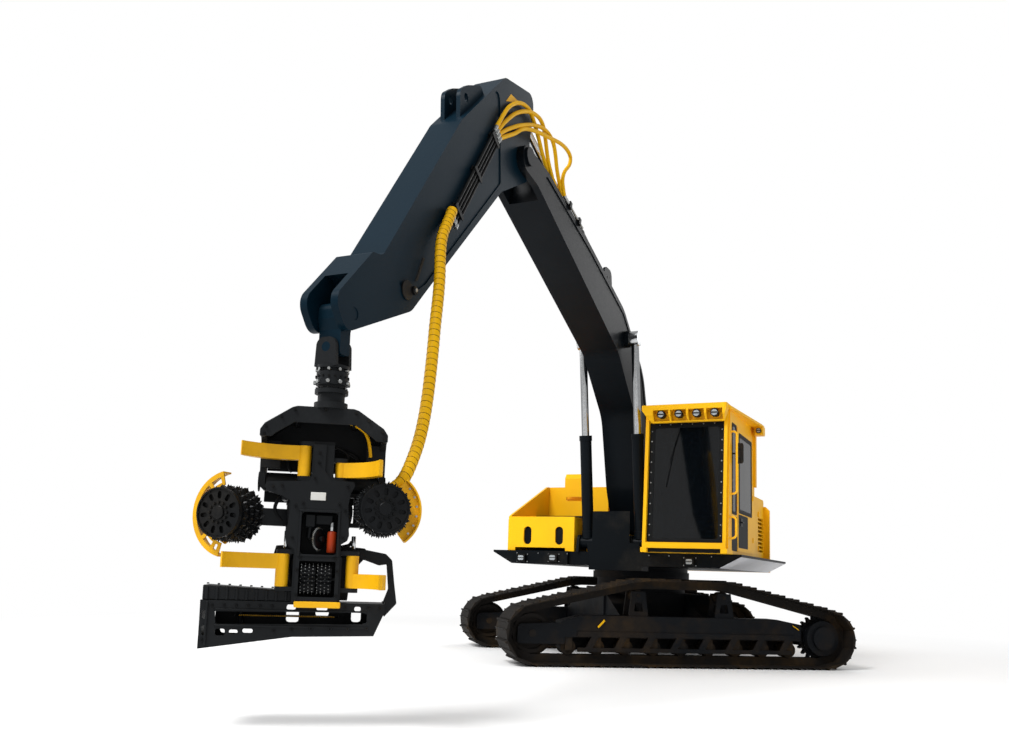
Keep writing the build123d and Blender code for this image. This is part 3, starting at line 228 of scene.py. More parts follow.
# laminated safety glass, tinted dark: mostly see-through, with a thin film of dust
def makeGlass():
    material, tree, surface = newMaterial("tinted laminated glass", Roughness=0.04, IOR=1.5)
    surface.inputs["Base Color"].default_value = colour("#070A0D")
    place = objectPlace(tree)
    dust = addNode(tree, "ShaderNodeTexNoise", {"Vector": place, "Scale": 3.0, "Detail": 5.0})
    veil = addNode(tree, "ShaderNodeMapRange",
                   {"Value": dust.outputs["Fac"], "From Min": 0.3, "From Max": 0.8, "To Min": 0.84, "To Max": 0.90})
    tree.links.new(veil.outputs[0], surface.inputs["Alpha"])
    return material


tintedGlass = makeGlass()


# clear polycarbonate over a reflector: pale, ribbed every 6 mm
def makeLens():
    material, tree, surface = newMaterial("ribbed lamp lens", Roughness=0.12, IOR=1.58)
    place = objectPlace(tree)
    ribs = addNode(tree, "ShaderNodeTexWave", {"Vector": place, "Scale": 52.0}, bands_direction="X")
    tint(tree, surface, ribs.outputs["Fac"], "#C9CFD2", "#6E757A")
    emboss(tree, surface, ribs.outputs["Fac"], 0.4, 0.002)
    return material


lampLens = makeLens()


# one node holds the yellow grab rails, forward of y -1.4 m, and the black mirror behind them
def makeRailFinish():
    material, tree, surface = newMaterial("enamel on rails and mirror", Roughness=0.35)
    place = objectPlace(tree)
    parts = addNode(tree, "ShaderNodeSeparateXYZ", {0: place})
    forward = addNode(tree, "ShaderNodeMath", {0: parts.outputs["Y"], 1: -1.40}, operation="LESS_THAN")
    tint(tree, surface, forward.outputs[0], "#0E1012", "#FFC412")
    grain = addNode(tree, "ShaderNodeTexNoise", {"Vector": place, "Scale": 60.0, "Detail": 4.0})
    emboss(tree, surface, grain.outputs["Fac"], 0.05, 0.001)
    return material


railFinish = makeRailFinish()
nodeFinish = {
    trackSteel: "track_left track_right idlers lower_rollers carrier_rollers",
    frameSteel: "track_frames roller_guards carbody swing_bearing final_drives",
    deckEnamel: "deck centre_panel",
    railFinish: "cab_handles",
    yellowEnamel: "counterweight engine_house door_left door_right engine_hood tray_box cab cab_roof cab_door cab_guard",
    blackBolt: "tank lamps boom_tubes stick_tubes",
    engineIron: "engine",
    exhaustSteel: "exhaust",
    cabTrim: "seat",
    boomEnamel: "boom boom_ram_barrel stick_ram_barrel",
    stickEnamel: "stick hanger",
    rodChrome: "boom_ram_rod stick_ram_rod",
    headEnamel: "rotator head_bracket head_frame saw_box feed_arm_left feed_arm_right",
    rubbedEnamel: "knife_upper_left knife_upper_right knife_lower_left knife_lower_right",
    studSteel: "feed_roller_left feed_roller_right head_wheels saw_bar",
}
for finish, names in nodeFinish.items():
    for name in names.split():
        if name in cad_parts:
            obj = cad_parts[name]
            obj.data.materials.clear()
            obj.data.materials.append(finish)
print("finishes laid on the frame")


# a mesh turned into a piece of its own on one body
def makePiece(name, mesh, body, *finishes):
    obj = bpy.data.objects.new(name, mesh)
    scene.collection.objects.link(obj)
    mesh.materials.clear()
    for finish in finishes:
        mesh.materials.append(finish)
    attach(obj, body)
    return obj


def meshFrom(bm, name, smooth=False):
    bmesh.ops.recalc_face_normals(bm, faces=bm.faces)
    mesh = bpy.data.meshes.new(name)
    bm.to_mesh(mesh)
    bm.free()
    for face in mesh.polygons:
        face.use_smooth = smooth
    return mesh


def addPiece(name, bm, body, finish, smooth=False):
    return makePiece(name, meshFrom(bm, name, smooth), body, finish)


# the object's own mesh with its modifiers in it, and no modifiers left
def settle(obj, name):
    scene.collection.objects.link(obj)
    bpy.context.view_layer.update()
    graph = bpy.context.evaluated_depsgraph_get()
    mesh = bpy.data.meshes.new_from_object(obj.evaluated_get(graph))
    mesh.name = name
    bpy.data.objects.remove(obj)
    return mesh


def joinRings(bm, near, far):
    count = len(near)
    return [bm.faces.new((near[i], near[(i + 1) % count], far[(i + 1) % count], far[i])) for i in range(count)]


# a closed solid between two loops of places
def addPrism(bm, near, far):
    near = [bm.verts.new(place) for place in near]
    far = [bm.verts.new(place) for place in far]
    return [bm.faces.new(near), bm.faces.new(far[::-1])] + joinRings(bm, near, far)


# a plate: an outline (u, v), its depth from and to, and the function that turns (u, v, w) to a place
def addPlate(bm, outline, low, high, place, edge=0.003):
    faces = addPrism(bm, [place(u, v, low) for u, v in outline], [place(u, v, high) for u, v in outline])
    bmesh.ops.recalc_face_normals(bm, faces=faces)
    if edge:
        edges = list({e for f in faces for e in f.edges})
        bmesh.ops.bevel(bm, geom=edges, offset=edge, segments=1, affect="EDGES", clamp_overlap=True)


# a round bar from one place to another, closed, with a small chamfer at its ends
def addBar(bm, start, stop, radius, sides=20, edge=0.15):
    start, stop = Vector(start), Vector(stop)
    way = (stop - start).normalized()
    side = way.orthogonal().normalized()
    other = way.cross(side)
    length = (stop - start).length
    cut = min(radius * edge, length / 4)
    rings = []
    for out, along in ((radius - cut, 0), (radius, cut), (radius, length - cut), (radius - cut, length)):
        ring = []
        for i in range(sides):
            angle = 2 * pi * i / sides
            ring.append(bm.verts.new(start + way * along + (side * cos(angle) + other * sin(angle)) * out))
        rings.append(ring)
    for low, high in zip(rings, rings[1:]):
        joinRings(bm, low, high)
    bm.faces.new(rings[0][::-1])
    bm.faces.new(rings[-1])


# a smooth line through control points, as a round tube
def makeLine(name, points, radius):
    data = bpy.data.curves.new(name, "CURVE")
    data.dimensions = "3D"
    data.bevel_depth = radius
    data.bevel_resolution = 4
    data.resolution_u = 10
    data.use_fill_caps = True
    spline = data.splines.new("NURBS")
    spline.points.add(len(points) - 1)
    for point, place in zip(spline.points, points):
        point.co = (*place, 1)
    spline.order_u = 3
    spline.use_endpoint_u = True
    return bpy.data.objects.new(name, data)


# the head and the undercarriage are stored turned: their own places, in the frame's
headTurn = radians(35)
headAxis = -7.75
lowerTurn = radians(-53.5)


def turned(x, y, z, turn, axis):
    return Vector((x * cos(turn) - y * sin(turn), x * sin(turn) + y * cos(turn) + axis, z))


def headPlace(x, y, z):
    return turned(x, y, z, headTurn, headAxis)


def headSideways(u, v, w):
    return headPlace(w, u, v)


def lowerSideways(u, v, w):
    return turned(w, u, v, lowerTurn, 0)


# hoses over the joint of boom and stick: control points, in metres
tipHoses = {
    "diameter": 0.042,
    "routes": [
        [(0.186, -5.604, 5.310), (0.188, -5.540, 5.395), (0.190, -5.471, 5.496), (0.192, -5.350, 5.643),
         (0.196, -5.122, 5.794), (0.200, -4.895, 5.836), (0.200, -4.777, 5.771), (0.200, -4.629, 5.641),
         (0.190, -4.477, 5.501), (0.170, -4.250, 5.400), (0.154, -4.069, 5.320), (0.150, -3.960, 5.262)],
        [(0.186, -5.575, 5.283), (0.188, -5.490, 5.380), (0.190, -5.379, 5.486), (0.200, -5.207, 5.639),
         (0.210, -4.937, 5.786), (0.215, -4.681, 5.850), (0.220, -4.547, 5.809), (0.220, -4.470, 5.644),
         (0.210, -4.380, 5.491), (0.200, -4.228, 5.372), (0.182, -4.060, 5.312), (0.180, -3.960, 5.262)],
        [(0.186, -5.545, 5.257), (0.190, -5.430, 5.350), (0.200, -5.294, 5.438), (0.212, -5.137, 5.535),
         (0.225, -4.831, 5.685), (0.235, -4.534, 5.775), (0.240, -4.324, 5.740), (0.240, -4.241, 5.615),
         (0.235, -4.190, 5.489), (0.225, -4.090, 5.379), (0.212, -3.960, 5.262)],
        [(0.186, -5.516, 5.230), (0.196, -5.390, 5.310), (0.206, -5.229, 5.405), (0.220, -5.063, 5.541),
         (0.240, -4.772, 5.635), (0.255, -4.433, 5.711), (0.265, -4.100, 5.791), (0.270, -3.860, 5.770),
         (0.270, -3.880, 5.640), (0.262, -4.020, 5.520), (0.256, -4.070, 5.400), (0.248, -4.010, 5.310),
         (0.242, -3.960, 5.262)],
    ],
}
# wrapped bundle from the stick down to the head
bundle = {
    "diameter": 0.094,
    "route": [(0.207, -6.455, 4.150), (0.212, -6.545, 4.000), (0.225, -6.654, 3.843), (0.240, -6.693, 3.673),
              (0.260, -6.715, 3.494), (0.280, -6.766, 3.268), (0.300, -6.833, 3.042), (0.320, -6.884, 2.825),
              (0.340, -6.948, 2.586), (0.350, -6.996, 2.388), (0.360, -7.059, 2.199), (0.370, -7.138, 2.034),
              (0.380, -7.244, 1.880), (0.385, -7.330, 1.770), (0.350, -7.390, 1.690), (0.270, -7.430, 1.640)],
    "wrapStep": 0.052,
}


def makeHoses():
    for i, route in enumerate(tipHoses["routes"]):
        hose = makeLine("tip_hose_" + str(i + 1), route, tipHoses["diameter"] / 2)
        scene.collection.objects.link(hose)
        hose.data.materials.append(yellowNylon)
        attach(hose, "boom")
    # fittings, short hard tubes and clamps that the hoses end in on the boom
    bm = bmesh.new()
    for x in (0.150, 0.180, 0.212, 0.242):
        addBar(bm, (x, -3.960, 5.262), (x, -3.830, 5.226), 0.021, sides=6)
        addBar(bm, (x, -3.830, 5.226), (x, -3.36, 5.100), 0.013, sides=12)
    addPiece("boom_line_fittings", bm, "boom", zincSteel)
    bm = bmesh.new()
    for y, z in ((-3.80, 5.178), (-3.50, 5.098)):
        addPlate(bm, [(-0.03, -0.01), (0.03, -0.01), (0.03, 0.075), (-0.03, 0.075)], 0.125, 0.265,
                 lambda u, v, w, y=y, z=z: Vector((w, y + u * 0.966 + v * 0.26, z - u * 0.26 + v * 0.966)), 0.004)
    addPiece("boom_line_clamps", bm, "boom", blackBolt)


# rings of the spiral wrap, one every step along the bundle
def wrapTree():
    tree = bpy.data.node_groups.new("spiral wrap", "GeometryNodeTree")
    tree.interface.new_socket("Geometry", in_out="INPUT", socket_type="NodeSocketGeometry")
    for title, value in (("Step", 0.03), ("Radius", 0.05), ("Band", 0.004)):
        tree.interface.new_socket(title, in_out="INPUT", socket_type="NodeSocketFloat").default_value = value
    tree.interface.new_socket("Geometry", in_out="OUTPUT", socket_type="NodeSocketGeometry")
    start = addNode(tree, "NodeGroupInput").outputs
    points = addNode(tree, "GeometryNodeCurveToPoints", {"Curve": start["Geometry"], "Length": start["Step"]},
                     mode="LENGTH")
    ring = addNode(tree, "GeometryNodeCurvePrimitiveCircle", {"Radius": start["Radius"]})
    ring.inputs["Resolution"].default_value = 28
    section = addNode(tree, "GeometryNodeCurvePrimitiveCircle", {"Radius": start["Band"]})
    section.inputs["Resolution"].default_value = 6
    band = addNode(tree, "GeometryNodeCurveToMesh", {"Curve": ring.outputs[0], "Profile Curve": section.outputs[0]})
    lean = addNode(tree, "FunctionNodeRotateRotation",
                   {"Rotation": points.outputs["Rotation"]}, rotation_space="LOCAL")
    lean.inputs["Rotate By"].default_value = (0.22, 0.0, 0.0)
    spread = addNode(tree, "GeometryNodeInstanceOnPoints",
                     {"Points": points.outputs["Points"], "Instance": band.outputs[0], "Rotation": lean.outputs[0]})
    whole = addNode(tree, "GeometryNodeRealizeInstances", {"Geometry": spread.outputs[0]})
    coat = addNode(tree, "GeometryNodeSetMaterial", {"Geometry": whole.outputs[0]})
    coat.inputs["Material"].default_value = blackRubber
    addNode(tree, "NodeGroupOutput", {"Geometry": coat.outputs[0]})
    return tree


def setInputs(modifier, tree, values):
    for item in tree.interface.items_tree:
        if item.in_out == "INPUT" and item.name in values:
            modifier[item.identifier] = values[item.name]


def makeBundle():
    hose = makeLine("head_hose", bundle["route"], bundle["diameter"] / 2)
    scene.collection.objects.link(hose)
    hose.data.materials.append(yellowNylon)
    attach(hose, "stick")
    core = makeLine("wrap line", bundle["route"], 0.0)
    tree = wrapTree()
    modifier = core.modifiers.new("wrap", "NODES")
    modifier.node_group = tree
    setInputs(modifier, tree, {"Step": bundle["wrapStep"], "Radius": bundle["diameter"] / 2 - 0.0005,
                               "Band": 0.0022})
    wrap = makePiece("head_hose_wrap", settle(core, "wrap rings"), "stick", blackRubber)
    return hose, wrap


makeHoses()
bundleHose, bundleWrap = makeBundle()
print("hoses made")


# repeats one small solid on every point of a mesh, turned by "facing" and sized by "size"
def repeatTree(title, finish, sides, cone=False):
    tree = bpy.data.node_groups.new(title, "GeometryNodeTree")
    tree.interface.new_socket("Geometry", in_out="INPUT", socket_type="NodeSocketGeometry")
    for name, value in (("Radius", 0.01), ("Height", 0.01)):
        tree.interface.new_socket(name, in_out="INPUT", socket_type="NodeSocketFloat").default_value = value
    tree.interface.new_socket("Geometry", in_out="OUTPUT", socket_type="NodeSocketGeometry")
    start = addNode(tree, "NodeGroupInput").outputs
    solid = addNode(tree, "GeometryNodeMeshCone", {"Radius Bottom": start["Radius"], "Depth": start["Height"]})
    solid.inputs["Vertices"].default_value = sides
    # a bolt's head narrows a little to its top, and a stud ends in a point
    if not cone:
        top = addNode(tree, "ShaderNodeMath", {0: start["Radius"], 1: 0.86}, operation="MULTIPLY")
        tree.links.new(top.outputs[0], solid.inputs["Radius Top"])
    facing = addNode(tree, "GeometryNodeInputNamedAttribute", data_type="FLOAT_VECTOR")
    facing.inputs["Name"].default_value = "facing"
    size = addNode(tree, "GeometryNodeInputNamedAttribute", data_type="FLOAT")
    size.inputs["Name"].default_value = "size"
    turn = addNode(tree, "FunctionNodeAlignRotationToVector", {"Vector": facing.outputs["Attribute"]}, axis="Z")
    spread = addNode(tree, "GeometryNodeInstanceOnPoints",
                     {"Points": start["Geometry"], "Instance": solid.outputs["Mesh"], "Rotation": turn.outputs[0],
                      "Scale": size.outputs["Attribute"]})
    whole = addNode(tree, "GeometryNodeRealizeInstances", {"Geometry": spread.outputs[0]})
    coat = addNode(tree, "GeometryNodeSetMaterial", {"Geometry": whole.outputs[0]})
    coat.inputs["Material"].default_value = finish
    addNode(tree, "NodeGroupOutput", {"Geometry": coat.outputs[0]})
    return tree


# rows are (place, facing, size)
def makeRepeats(name, body, rows, finish, radius=0.011, height=0.010, sides=6, cone=False):
    mesh = bpy.data.meshes.new(name + " points")
    mesh.from_pydata([tuple(row[0]) for row in rows], [], [])
    facing = mesh.attributes.new("facing", "FLOAT_VECTOR", "POINT")
    facing.data.foreach_set("vector", [c for row in rows for c in row[1]])
    size = mesh.attributes.new("size", "FLOAT", "POINT")
    size.data.foreach_set("value", [row[2] for row in rows])
    obj = bpy.data.objects.new(name + " points", mesh)
    tree = repeatTree(name, finish, sides, cone)
    modifier = obj.modifiers.new("repeat", "NODES")
    modifier.node_group = tree
    setInputs(modifier, tree, {"Radius": radius, "Height": height})
    return makePiece(name, settle(obj, name), body, finish)


headRight = Vector((cos(headTurn), sin(headTurn), 0))
headFront = Vector((sin(headTurn), -cos(headTurn), 0))
up = Vector((0, 0, 1))

headLooks = {
    "frontPlate": [(-0.100, 1.960), (-0.010, 1.960), (-0.014, 1.775), (0.030, 1.712), (0.190, 1.706),
                   (0.200, 1.680), (0.172, 1.620), (0.160, 1.540), (0.166, 1.440), (0.176, 1.330), (0.165, 1.292),
                   (0.120, 1.262), (0.120, 1.165), (0.120, 0.882), (0.105, 0.872), (-0.165, 0.872), (-0.180, 0.882),
                   (-0.180, 1.165), (-0.195, 1.225), (-0.250, 1.262), (-0.262, 1.330), (-0.245, 1.400),
                   (-0.235, 1.480), (-0.240, 1.560), (-0.300, 1.590), (-0.400, 1.618), (-0.420, 1.650),
                   (-0.405, 1.684), (-0.120, 1.700), (-0.085, 1.760)],
    "window": [(-0.154, 1.190), (0.094, 1.190), (0.094, 1.470), (0.080, 1.484), (-0.140, 1.484), (-0.154, 1.470)],
    "recess": [(-0.154, 0.899), (0.094, 0.899), (0.094, 1.145), (-0.154, 1.145)],
}


# a plate with holes: the outline and each hole are (u, v) loops joined by a triangulated face
def addHoledPlate(bm, outline, holes, low, high, place):
    rings = []
    edges = []
    for loop in [outline] + holes:
        ring = [bm.verts.new(place(u, v, low)) for u, v in loop]
        rings.append(ring)
        edges += [bm.edges.new((ring[i], ring[(i + 1) % len(ring)])) for i in range(len(ring))]
    filled = bmesh.ops.triangle_fill(bm, use_beauty=True, edges=edges)
    faces = [f for f in filled["geom"] if isinstance(f, bmesh.types.BMFace)]
    copy = {}
    for loop, ring in zip([outline] + holes, rings):
        for (u, v), vert in zip(loop, ring):
            copy[vert] = bm.verts.new(place(u, v, high))
    for face in faces:
        bm.faces.new([copy[v] for v in face.verts][::-1])
    for ring in rings:
        joinRings(bm, ring, [copy[vert] for vert in ring])
    bmesh.ops.recalc_face_normals(bm, faces=bm.faces)


# directions spread round a circle that runs from "first" towards "second"
def spokes(count, first, second, shift=0):
    angles = [2 * pi * (i + shift) / count for i in range(count)]
    return [first * cos(angle) + second * sin(angle) for angle in angles]


def headFacing(u, v, w):
    return headPlace(u, w, v)


def boxLoop(x0, z0, x1, z1):
    return [(x0, z0), (x1, z0), (x1, z1), (x0, z1)]


def makeHeadFront():
    bm = bmesh.new()
    addHoledPlate(bm, headLooks["frontPlate"], [headLooks["window"], headLooks["recess"]], -0.014, -0.0005,
                  headFacing)
    # rim round the window, and the wings that reach back to the arms
    for x0, z0, x1, z1 in ((-0.172, 1.484, 0.112, 1.500), (-0.172, 1.176, -0.154, 1.484),
                           (0.094, 1.176, 0.112, 1.484), (-0.154, 1.176, 0.094, 1.190)):
        addPlate(bm, boxLoop(x0, z0, x1, z1), -0.022, -0.014, headFacing, 0.003)
    for x0, z0, x1, z1, y0, y1 in ((-0.400, 1.620, -0.190, 1.660, 0.000, 0.150),
                                   (0.110, 1.640, 0.185, 1.690, 0.000, 0.120),
                                   (-0.300, 1.560, -0.240, 1.600, 0.000, 0.180)):
        addPlate(bm, boxLoop(x0, z0, x1, z1), y0, y1, headFacing, 0.006)
    addPiece("head_front", bm, "head_frame", headEnamel)
    bm = bmesh.new()
    addPlate(bm, boxLoop(-0.102, 1.566, 0.002, 1.622), -0.018, -0.0145, headFacing, 0.002)
    addPiece("head_blank_plate", bm, "head_frame", whitePlate)
    bm = bmesh.new()
    addPlate(bm, boxLoop(-0.175, 0.826, 0.140, 0.868), -0.020, 0.028, headFacing, 0.006)
    addPiece("head_bar", bm, "head_frame", rubbedEnamel)
    # measuring wheel on its arm and the motor beside it, inside the window
    bm = bmesh.new()
    centre = headPlace(-0.030, 0.060, 1.300)
    axle = (headRight * 0.82 + headFront * 0.57).normalized()
    addBar(bm, centre - axle * 0.012, centre + axle * 0.012, 0.070, sides=40)
    addBar(bm, centre - axle * 0.035, centre + axle * 0.035, 0.022, sides=16)
    addPlate(bm, boxLoop(-0.130, 1.380, -0.060, 1.470), 0.020, 0.120, headFacing, 0.006)
    addPlate(bm, boxLoop(-0.060, 1.400, 0.060, 1.470), 0.050, 0.140, headFacing, 0.006)
    addBar(bm, headPlace(-0.100, 0.060, 1.300), headPlace(-0.040, 0.070, 1.300), 0.018)
    addBar(bm, headPlace(-0.100, 0.060, 1.300), headPlace(-0.095, 0.060, 1.400), 0.018)
    addPiece("measuring_wheel", bm, "head_frame", studSteel)
    rows = [(centre + out * 0.072, out, 1.0) for out in spokes(40, axle.cross(up).normalized(), up)]
    makeRepeats("measuring_wheel_teeth", "head_frame", rows, zincSteel, radius=0.006, height=0.014, sides=6,
                cone=True)
    bm = bmesh.new()
    addBar(bm, headPlace(0.058, 0.060, 1.205), headPlace(0.058, 0.060, 1.355), 0.032, sides=24)
    addPiece("wheel_motor", bm, "head_frame", motorEnamel, smooth=True)
    bm = bmesh.new()
    addBar(bm, headPlace(0.058, 0.060, 1.355), headPlace(0.058, 0.060, 1.420), 0.020, sides=18)
    addBar(bm, headPlace(0.212, 0.120, 1.240), headPlace(0.212, 0.120, 1.330), 0.016, sides=16)
    addBar(bm, headPlace(-0.255, 0.055, 1.230), headPlace(-0.255, 0.055, 1.330), 0.014, sides=16)
    addPiece("head_small_rods", bm, "head_frame", rodChrome, smooth=True)
    bolts = []
    for u, v in ((-0.150, 1.540), (0.100, 1.540), (-0.200, 1.520), (0.140, 1.500), (-0.210, 1.300), (0.135, 1.310),
                 (-0.148, 1.165), (0.088, 1.165), (-0.055, 1.900), (-0.055, 1.830), (-0.080, 1.720),
                 (-0.300, 1.660), (-0.360, 1.650), (0.150, 1.670), (-0.165, 0.910), (0.105, 0.910), (-0.165, 1.080),
                 (0.105, 1.080)):
        bolts.append((headPlace(u, -0.018, v), headFront, 1.0))
    makeRepeats("head_front_bolts", "head_frame", bolts, blackBolt)


# feed rollers: the back of each drum in the head's frame, and how far its axis turns from the head's front
rollers = {
    "left": {"rear": (-0.560, 0.060, 1.445), "turn": -30},
    "right": {"rear": (0.380, 0.060, 1.515), "turn": 6},
}


# the place of a drum's back, the way its axis points, and the level way across it
def rollerAxes(side):
    t = radians(rollers[side]["turn"])
    way = headRight * sin(t) + headFront * cos(t)
    across = headRight * cos(t) - headFront * sin(t)
    return headPlace(*rollers[side]["rear"]), way, across


# rows of spikes round each drum, two rings of bolts on its face, and a cap
rollerStuds = {"rows": 4, "round": 24, "first": 0.029, "apart": 0.062, "reach": 0.176}


def makeRollerStuds():
    for side in rollers:
        base, way, across = rollerAxes(side)
        rows = []
        for i in range(rollerStuds["rows"]):
            centre = base + way * (rollerStuds["first"] + i * rollerStuds["apart"])
            for out in spokes(rollerStuds["round"], across, up, 0.5 * (i % 2)):
                rows.append((centre + out * rollerStuds["reach"], out, 1.0))
        makeRepeats("roller_studs_" + side, "feed_roller_" + side, rows, studSteel, radius=0.012, height=0.024,
                    sides=5, cone=True)
        bolts = []
        for out in spokes(12, across, up):
            bolts.append((base + way * 0.275 + out * 0.068, way, 1.0))
            bolts.append((base + way * 0.272 + out * 0.158, way, 0.6))
        makeRepeats("roller_bolts_" + side, "feed_roller_" + side, bolts, blackBolt)
        bm = bmesh.new()
        addBar(bm, base + way * 0.2702, base + way * 0.286, 0.045, sides=28)
        section = ((0.170, 0.2702), (0.170, 0.280), (0.160, 0.280), (0.160, 0.2702))
        lip = [[bm.verts.new(base + way * d + out * r) for r, d in section] for out in spokes(44, across, up)]
        for near, far in zip(lip, lip[1:] + lip[:1]):
            joinRings(bm, near, far)
        addPiece("roller_cap_" + side, bm, "feed_roller_" + side, studSteel)


# yellow guard behind each roller: a bent band, open in windows on the left, solid on the right
armGuards = {
    "left": {"from": 104, "to": 256, "inner": 0.205, "outer": 0.300, "low": 0.060, "high": 0.150},
    "right": {"from": -52, "to": 52, "inner": 0.202, "outer": 0.282, "low": 0.060, "high": 0.130},
}


def makeArmGuards():
    for side, spec in armGuards.items():
        base, way, across = rollerAxes(side)
        count = 26
        bm = bmesh.new()

        def at(k, r, d):
            angle = radians(spec["from"] + (spec["to"] - spec["from"]) * k / count)
            return base + way * d + (across * cos(angle) + up * sin(angle)) * r

        def sweepBar(section):
            rings = [[bm.verts.new(at(k, r, d)) for r, d in section] for k in range(count + 1)]
            for near, far in zip(rings, rings[1:]):
                joinRings(bm, near, far)
            bm.faces.new(rings[0][::-1])
            bm.faces.new(rings[-1])

        low, high, inner, outer = spec["low"], spec["high"], spec["inner"], spec["outer"]
        if side == "left":
            sweepBar([(outer - 0.034, high - 0.010), (outer, high - 0.010), (outer, high), (outer - 0.034, high)])
            sweepBar([(inner, high - 0.010), (inner + 0.020, high - 0.010), (inner + 0.020, high), (inner, high)])
            sweepBar([(outer - 0.010, low), (outer, low), (outer, high - 0.008), (outer - 0.010, high - 0.008)])
            for k in (0, 4, 9, 14, 19, 23, 25):
                corners = ((0, inner + 0.010), (1, inner + 0.010), (1, outer - 0.020), (0, outer - 0.020))
                addPrism(bm, *([at(k + i, r, high - depth) for i, r in corners] for depth in (0.0095, 0.0005)))
        else:
            sweepBar([(inner, low), (outer - 0.014, low), (outer, low + 0.010), (outer, high),
                      (outer - 0.012, high), (outer - 0.012, low + 0.016), (inner, low + 0.012)])
        # arms from the guard to the roller's hub behind the drum
        for angle in ((120, 180, 240) if side == "left" else (-40, 0, 40)):
            out = across * cos(radians(angle)) + up * sin(radians(angle))
            cross = way.cross(out)
            start = base + out * 0.07 - way * 0.030
            stop = base + out * (inner + 0.012) + way * (max(low, -0.030))
            corners = []
            for place, half in ((start, 0.045), (stop, 0.030)):
                corners += [place + cross * half, place - cross * half]
            quad = [corners[0], corners[1], corners[3], corners[2]]
            addPrism(bm, [c - way * 0.008 for c in quad], [c + way * 0.008 for c in quad])
        addPiece("arm_guard_" + side, bm, "feed_arm_" + side, rubbedEnamel)
        if side == "right":
            bolts = [(at(k, 0.245, low - 0.003 + 0.076), way, 0.9) for k in range(3, 24, 4)]
            makeRepeats("arm_guard_bolts", "feed_arm_right", bolts, zincSteel)


# hood over the head: a front rim, cheeks that widen its sides, ribs inside, bolts and pin caps
def makeHood():
    bm = bmesh.new()
    rim = [(-0.470, 1.992), (-0.470, 2.040), (-0.440, 2.085), (-0.260, 2.205), (-0.225, 2.216), (0.165, 2.216),
           (0.200, 2.205), (0.380, 2.085), (0.410, 2.040), (0.410, 1.992), (0.330, 1.992), (0.300, 2.020),
           (0.180, 2.100), (-0.240, 2.100), (-0.360, 2.020), (-0.390, 1.992)]
    addPlate(bm, rim, -0.074, -0.0605, headFacing, 0.004)
    for x0, x1 in ((-0.4695, -0.330), (0.270, 0.4095)):
        addPlate(bm, [(x0, 1.790), (x1, 1.790), (x1, 1.990), (x0, 1.990)], 0.132, 0.1495, headFacing, 0.004)
    # ribs inside the hood
    for x in (-0.230, 0.170):
        addPlate(bm, [(-0.055, 2.110), (0.300, 2.110), (0.300, 2.170), (-0.055, 2.170)], x - 0.010, x + 0.010,
                 headSideways, 0.003)
    addPiece("hood_rim", bm, "head_bracket", headEnamel)
    bolts = [(headPlace(u, -0.078, v), headFront, 1.0) for u, v in
             ((-0.440, 2.010), (-0.430, 2.060), (-0.330, 2.135), (-0.240, 2.185), (-0.030, 2.195), (0.180, 2.185),
              (0.270, 2.135), (0.370, 2.060), (0.385, 2.010))]
    for s in (-1, 1):
        for angle in range(0, 360, 60):
            place = headPlace(-0.030 + s * 0.442, 0.230 + 0.055 * cos(radians(angle)),
                              1.700 + 0.055 * sin(radians(angle)))
            bolts.append((place, headRight * s, 0.8))
    makeRepeats("hood_bolts", "head_bracket", bolts, blackBolt)
    bm = bmesh.new()
    for s in (-1, 1):
        addBar(bm, headPlace(-0.030 + s * 0.4403, 0.230, 1.700), headPlace(-0.030 + s * 0.450, 0.230, 1.700), 0.072,
               sides=28)
    addPiece("hood_pin_caps", bm, "head_bracket", headEnamel)
    hose = makeLine("hood hose", [headPlace(0.100, 0.120, 2.150), headPlace(0.220, 0.090, 2.120),
                                  headPlace(0.290, 0.070, 2.020), headPlace(0.300, 0.100, 1.900)], 0.012)
    makePiece("hood_hose", settle(hose, "hood hose"), "head_bracket", yellowNylon)


# black hydraulic lines that fill the gaps between the core, the arms and the hood
headLines = [
    [(-0.180, 0.070, 1.640), (-0.240, 0.060, 1.560), (-0.250, 0.080, 1.420), (-0.200, 0.120, 1.340)],
    [(-0.300, 0.130, 1.600), (-0.360, 0.120, 1.540), (-0.330, 0.140, 1.440), (-0.230, 0.170, 1.380)],
    [(0.125, 0.080, 1.640), (0.165, 0.080, 1.560), (0.160, 0.110, 1.420), (0.130, 0.150, 1.320)],
    [(0.130, 0.140, 1.650), (0.190, 0.150, 1.560), (0.175, 0.170, 1.400), (0.130, 0.190, 1.300)],
    [(-0.110, 0.120, 1.960), (-0.150, 0.140, 1.930), (-0.150, 0.160, 1.800), (-0.110, 0.180, 1.740)],
    [(0.050, 0.120, 1.960), (0.120, 0.150, 1.940), (0.150, 0.170, 1.880), (0.110, 0.200, 1.740)],
    [(0.050, 0.200, 1.960), (0.200, 0.200, 1.930), (0.240, 0.220, 1.830), (0.200, 0.220, 1.780)],
    [(-0.110, 0.200, 1.960), (-0.250, 0.200, 1.930), (-0.300, 0.220, 1.840), (-0.250, 0.230, 1.780)],
    [(-0.180, 0.200, 1.250), (-0.235, 0.190, 1.180), (-0.225, 0.200, 1.040), (-0.185, 0.210, 0.960)],
    [(0.120, 0.200, 1.250), (0.165, 0.190, 1.260), (0.190, 0.200, 1.270), (0.200, 0.180, 1.290)],
]


